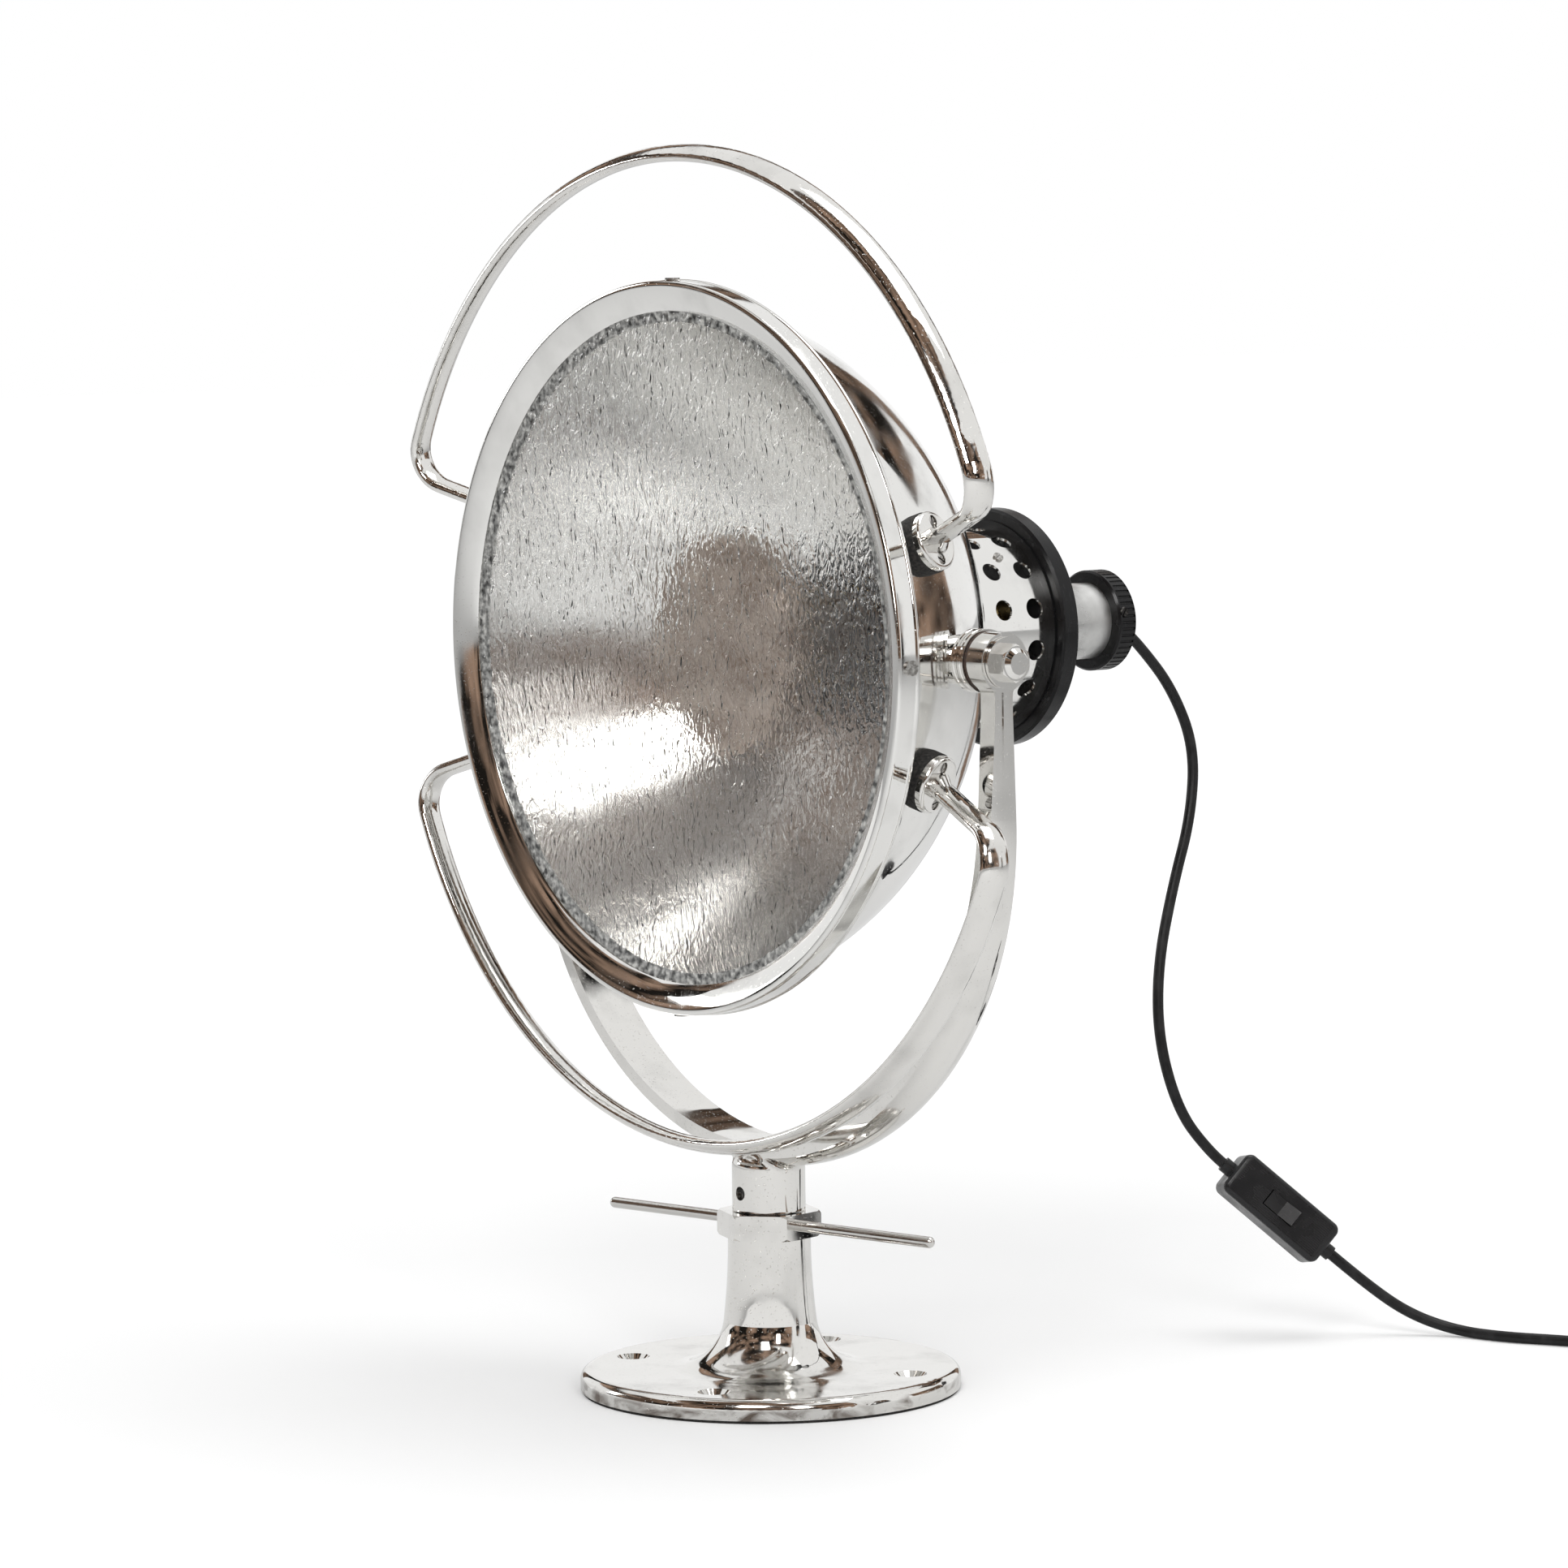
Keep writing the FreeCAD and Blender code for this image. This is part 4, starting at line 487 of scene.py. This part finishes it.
rubber = finish_material("cord_rubber", (0.01, 0.01, 0.0105), 0.0, 0.38)
set_plain(rubber, "Specular IOR Level", 0.25)
bloom = noise(rubber, 130, 4)
dull(rubber, bloom, 0.3, 0.5, 0.35, 0.7)
mottle(rubber, bloom, (0.008, 0.008, 0.0085), (0.02, 0.02, 0.0205), 0.45, 0.75)
relief(rubber, noise(rubber, 700, 3), 0.3, 0.0002)
coat(node["inner_flex"], rubber)

CORD_RADIUS = 0.00325
UPPER_ROUTE = (
    (0, 0.2626, 0.424),
    (0, 0.269, 0.424),
    (0.0015, 0.284, 0.411),
    (0.005, 0.306, 0.385),
    (0.009, 0.3205, 0.349),
    (0.016, 0.311, 0.308),
    (0.023, 0.29, 0.2685),
    (0.031, 0.2705, 0.223),
    (0.038, 0.2645, 0.18),
    (0.046, 0.273, 0.1375),
    (0.0502, 0.2933, 0.112),
    (0.05533, 0.29983, 0.10475),
)


def route_curve(name, route, thickness):
    """A smooth line that follows the route's points, with its ends on the first and last."""
    curve = bpy.data.curves.new(name, "CURVE")
    curve.dimensions = "3D"
    spline = curve.splines.new("NURBS")
    spline.points.add(len(route) - 1)
    for point, place in zip(spline.points, route):
        point.co = (*place, 1)
    spline.order_u = 3
    spline.use_endpoint_u = True
    spline.resolution_u = 10
    curve.bevel_depth = thickness
    curve.bevel_resolution = 5
    curve.use_fill_caps = True
    line = bpy.data.objects.new(name, curve)
    bpy.context.scene.collection.objects.link(line)
    return line


def as_mesh(line):
    """The mesh that a curve makes, its centreline where it has no thickness."""
    bpy.context.view_layer.update()
    evaluated = line.evaluated_get(bpy.context.evaluated_depsgraph_get())
    return bpy.data.meshes.new_from_object(evaluated)


PARTING_PLACE = Vector((0.00325, 0.295, 0.398))
PARTING_WAY = Vector((0.102, 0.643, -0.76))


def past_parting(place):
    """Whether a place on the cord lies on the switch's side of the parting."""
    return (Vector(place) - PARTING_PLACE).dot(PARTING_WAY) >= 0


centre_line = route_curve("upper_line", UPPER_ROUTE, 0)
upper_path = [tuple(vertex.co) for vertex in as_mesh(centre_line).vertices]
thick_line = route_curve("upper_thick", UPPER_ROUTE, CORD_RADIUS)
knob_cord = bpy.data.objects.new("knob_cord", as_mesh(thick_line))
bpy.context.scene.collection.objects.link(knob_cord)
for line in (centre_line, thick_line):
    bpy.data.objects.remove(line, do_unlink=True)
select_only(knob_cord)
bpy.ops.object.shade_smooth_by_angle(angle=math.radians(50))
coat(knob_cord, rubber)

for face in knob_cord.data.polygons:
    face.select = past_parting(face.center)
for part in (*knob_cord.data.edges, *knob_cord.data.vertices):
    part.select = False
bpy.ops.object.mode_set(mode="EDIT")
bpy.ops.mesh.select_mode(type="FACE")
bpy.ops.mesh.separate(type="SELECTED")
bpy.ops.object.mode_set(mode="OBJECT")
hanging_cord = next(piece for piece in bpy.context.selected_objects if piece != knob_cord)
hanging_cord.name = "hanging_cord"
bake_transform(knob_cord)
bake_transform(hanging_cord)
for piece in (knob_cord, hanging_cord):
    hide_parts("cord_upper")

# The inline switch is moulded in two halves, with softly rounded edges, fine grip lines and
# a gloss rocker in a well. A short neck at each end takes the cord.

gloss = finish_material("switch_moulding", (0.015, 0.015, 0.016), 0.0, 0.16)
set_plain(gloss, "Specular IOR Level", 0.3)
dull(gloss, noise(gloss, 60, 5), 0.22, 0.38, 0.35, 0.7)
relief(gloss, noise(gloss, 300, 3), 0.25, 0.00015)
for name in ("switch_top", "switch_bottom", "switch_rocker"):
    coat(node[name], gloss)

# From the switch the cord drops to the table and runs off to the right. Out of sight it is
# wound into a neat flat coil in two layers, and ends in a plug with a ribbed sleeve.

LOWER_ROUTE = (
    (0.0947, 0.3502, 0.0492),
    (0.108, 0.3673, 0.0304),
    (0.124, 0.387, 0.0125),
    (0.146, 0.405, 0.0033),
    (0.178, 0.4115, 0.0033),
    (0.206, 0.427, 0.0033),
    (0.226, 0.4365, 0.0033),
    (0.2424, 0.4365, 0.0033),
)
COIL_START = Vector((0.249, 0.4365, 0.0033))
HALF_TURNS = (0.0795, 0.0725, 0.0655, 0.0585, 0.0515, 0.0445, 0.0515, 0.0585, 0.0655, 0.0725)
CLIMBING_TURN = 5
COIL_LAYER = 0.007
STEPS_PER_HALF = 8
OUTSIDE = 1.0196
coil_route = []
start = COIL_START
for number, width in enumerate(HALF_TURNS):
    way = 1 if number % 2 == 0 else -1
    climb = COIL_LAYER if number == CLIMBING_TURN else 0
    centre = start + Vector((0, width / 2 * way, 0))
    reach = width / 2 * OUTSIDE
    for step in range(STEPS_PER_HALF):
        share = (step + 0.5) / STEPS_PER_HALF
        angle = math.pi * share
        coil_route.append((
            centre.x + reach * math.sin(angle) * way,
            centre.y - reach * math.cos(angle) * way,
            start.z + climb * share,
        ))
    start = start + Vector((0, width * way, climb))
TAIL_ROUTE = (
    (0.257, 0.4435, 0.0103),
    (0.2722, 0.4497, 0.0103),
    (0.2842, 0.4612, 0.0103),
    (0.28875, 0.4755, 0.0103),
    (0.28875, 0.493, 0.0103),
    (0.28875, 0.52025, 0.0103),
)
lower_cord = route_curve("lower_cord", (*LOWER_ROUTE, *coil_route, *TAIL_ROUTE), CORD_RADIUS)
lower_cord.data.materials.append(rubber)
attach(lower_cord, "yoke")
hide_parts("cord_lower", "cord_coil")
coat(node["plug_body"], gloss)
coat(node["plug_pins"], machined)

SLEEVE_BEFORE_PLUG = 0.0175
SLEEVE_RIBS = 6
RIB_PITCH = 0.003
RIB_RADIUS = 0.0052
RIB_ENDS = (0, 0.0018)
GROOVE_RADIUS = 0.0042
GROOVE_ENDS = (0.0019, 0.0029)
WIDER_EACH_RIB = 0.0004
sleeve_profile = []
for rib in range(SLEEVE_RIBS):
    wider, along = WIDER_EACH_RIB * rib, RIB_PITCH * rib
    sleeve_profile += [(RIB_RADIUS + wider, along + end) for end in RIB_ENDS]
    sleeve_profile += [(GROOVE_RADIUS + wider, along + end) for end in GROOVE_ENDS]
plug_sleeve = spun("plug_sleeve", sleeve_profile, steps=48, height=0, closed=False)
sleeve_start = Vector(TAIL_ROUTE[-1]) - Vector((0, SLEEVE_BEFORE_PLUG, 0))
plug_sleeve.data.transform(Matrix.Translation(sleeve_start))
coat(plug_sleeve, rubber)
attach(plug_sleeve, "yoke")

# The studio: a white sweep of floor and a white surround that camera, metal and glass all
# see. In front, above and to the right there is a dim brown room that only metal and glass
# mirror, with soft lamps in it.

bpy.ops.object.select_all(action="DESELECT")
bpy.ops.mesh.primitive_plane_add(size=30, location=(0, 0, 0))
floor = bpy.context.object
floor.name = "studio_floor"
floor_paint = finish_material("studio_floor", (0.78, 0.78, 0.78), 0.0, 0.9)
set_plain(floor_paint, "Specular IOR Level", 0.0)
set_plain(floor_paint, "Emission Color", (1, 1, 1, 1))
floor_nodes = floor_paint.node_tree.nodes
floor_place = floor_nodes.new("ShaderNodeTexCoord")
floor_reach = floor_nodes.new("ShaderNodeVectorMath")
floor_reach.operation = "LENGTH"
floor_paint.node_tree.links.new(floor_place.outputs["Object"], floor_reach.inputs[0])
seen_by_camera = floor_nodes.new("ShaderNodeLightPath").outputs["Is Camera Ray"]
floor_white = ramp(floor_paint, floor_reach.outputs["Value"], 0.16, 0.56, 0.5, 2.6)
floor_glow = combine(floor_paint, "MULTIPLY", seen_by_camera, floor_white)
vary(floor_paint, "Emission Strength", floor_glow)
coat(floor, floor_paint)

world = bpy.data.worlds.new("studio")
bpy.context.scene.world = world
world.use_nodes = True
backdrop = world.node_tree.nodes["Background"]
backdrop.inputs["Color"].default_value = (1, 1, 1, 1)
rays = world.node_tree.nodes.new("ShaderNodeLightPath")
seen = combine(world, "ADD", rays.outputs["Is Camera Ray"], rays.outputs["Is Glossy Ray"])
seen_or_mirrored = combine(world, "ADD", seen, rays.outputs["Is Transmission Ray"])
backdrop_level = ramp(world, seen_or_mirrored, 0.6, 1.0)
world.node_tree.links.new(backdrop_level, backdrop.inputs["Strength"])

room_paint = finish_material("studio_room", (0, 0, 0), 0.0, 1.0)
set_plain(room_paint, "Specular IOR Level", 0.0)
set_plain(room_paint, "Emission Strength", 1.0)
patches = noise(room_paint, 0.8, 3, (1, 1, 1.5))
room_color = tint(room_paint, patches, (0.014, 0.012, 0.01), (0.38, 0.255, 0.185), 0.43, 0.64)
vary(room_paint, "Emission Color", room_color)


def only_mirrored(thing):
    """Keep a stage piece out of sight and out of the light, save in mirrors and glass."""
    coat(thing, room_paint)
    thing.visible_camera = False
    thing.visible_diffuse = False
    thing.visible_shadow = False
    thing.visible_volume_scatter = False


def room_wall(name, radius, low, high, from_bearing, to_bearing):
    """A curved wall between two bearings, seen only in metal and glass."""
    bpy.ops.object.select_all(action="DESELECT")
    bpy.ops.mesh.primitive_cylinder_add(
        vertices=180,
        radius=radius,
        depth=high - low,
        end_fill_type="NOTHING",
        location=(0, 0, (low + high) / 2),
    )
    wall = bpy.context.object
    wall.name = name
    bpy.ops.object.mode_set(mode="EDIT")
    bpy.ops.mesh.select_mode(type="FACE")
    bpy.ops.mesh.select_all(action="DESELECT")
    bpy.ops.object.mode_set(mode="OBJECT")
    for face in wall.data.polygons:
        bearing = math.degrees(math.atan2(face.center.x, -face.center.y)) % 360
        face.select = (bearing - from_bearing) % 360 > to_bearing - from_bearing
    bpy.ops.object.mode_set(mode="EDIT")
    bpy.ops.mesh.delete(type="FACE")
    bpy.ops.object.mode_set(mode="OBJECT")
    bpy.ops.object.transform_apply(location=True, rotation=True, scale=True)
    only_mirrored(wall)


ROOM_RADIUS = 4.5
FLAG_RADIUS = 1.7
room_wall("room_front", ROOM_RADIUS, 0.3, 4.4, -63, 106)
room_wall("room_right", ROOM_RADIUS, 0.2, 1.6, 146, 178)
room_wall("room_edge", ROOM_RADIUS, 0.0, 1.6, 119, 124)
room_wall("flag_right", FLAG_RADIUS, 0.0, 1.5, 206, 214)
room_wall("flag_left", FLAG_RADIUS, 0.0, 1.5, 250, 258)
room_wall("room_behind", ROOM_RADIUS, 2.1, 3.4, 178, 297)
bpy.ops.object.select_all(action="DESELECT")
bpy.ops.mesh.primitive_circle_add(
    vertices=180, radius=2.8, fill_type="NGON", location=(0.9, -2.3, 4.4)
)
ceiling = bpy.context.object
ceiling.name = "room_ceiling"
bpy.ops.object.transform_apply(location=True, rotation=True, scale=True)
only_mirrored(ceiling)


def soft_lamp(name, place, aim, width, height, watts):
    """A soft box: it lights the lamp and shows in the metal as a white window."""
    light = bpy.data.lights.new(name, "AREA")
    light.shape = "RECTANGLE"
    light.size = width
    light.size_y = height
    light.energy = watts
    lamp = bpy.data.objects.new(name, light)
    bpy.context.scene.collection.objects.link(lamp)
    lamp.location = place
    lamp.rotation_euler = (Vector(aim) - Vector(place)).to_track_quat("-Z", "Y").to_euler()


soft_lamp("key_lamp", (1.75, -2.2, 2.7), (0, 0, 0.4), width=1.0, height=1.2, watts=40)
soft_lamp("window_lamp", (3.4, -1.2, 1.9), (0, 0, 0.4), width=0.6, height=1.4, watts=22)
soft_lamp("side_lamp", (-2.9, -1.6, 1.1), (0, 0, 0.4), width=0.5, height=0.9, watts=8)
soft_lamp("top_lamp", (0.2, 0.6, 2.9), (0, 0, 0.3), width=1.8, height=1.4, watts=30)

# The camera stands to the lamp's right, a little above its middle, and looks slightly down
# through a long lens. A hair of roll sets the lamp as upright as it is in the photograph.

CAMERA_TURN = math.radians(51.86)
CAMERA_DISTANCE = 3.6
CAMERA_HEIGHT = 0.69096
CAMERA_PITCH = math.radians(5.45)
CAMERA_YAW = math.radians(-0.18)
CAMERA_ROLL = math.radians(-0.64)
CAMERA_LENS = 146.14
viewpoint = Vector((
    CAMERA_DISTANCE * math.sin(CAMERA_TURN),
    -CAMERA_DISTANCE * math.cos(CAMERA_TURN),
    CAMERA_HEIGHT,
))
aim = CAMERA_TURN + CAMERA_YAW
level = math.cos(CAMERA_PITCH)
forward = Vector((-math.sin(aim) * level, math.cos(aim) * level, -math.sin(CAMERA_PITCH)))
sideways = forward.cross(Vector((0, 0, 1))).normalized()
upright = sideways.cross(forward)
right = sideways * math.cos(CAMERA_ROLL) + upright * math.sin(CAMERA_ROLL)
up = upright * math.cos(CAMERA_ROLL) - sideways * math.sin(CAMERA_ROLL)
camera_data = bpy.data.cameras.new("camera")
camera_data.lens = CAMERA_LENS
camera_data.sensor_width = 36
camera_data.clip_end = 50
camera = bpy.data.objects.new("camera", camera_data)
bpy.context.scene.collection.objects.link(camera)
camera.matrix_world = Matrix((
    (right.x, up.x, -forward.x, viewpoint.x),
    (right.y, up.y, -forward.y, viewpoint.y),
    (right.z, up.z, -forward.z, viewpoint.z),
    (0, 0, 0, 1),
))
bpy.context.scene.camera = camera
bpy.context.scene.view_settings.view_transform = "Standard"
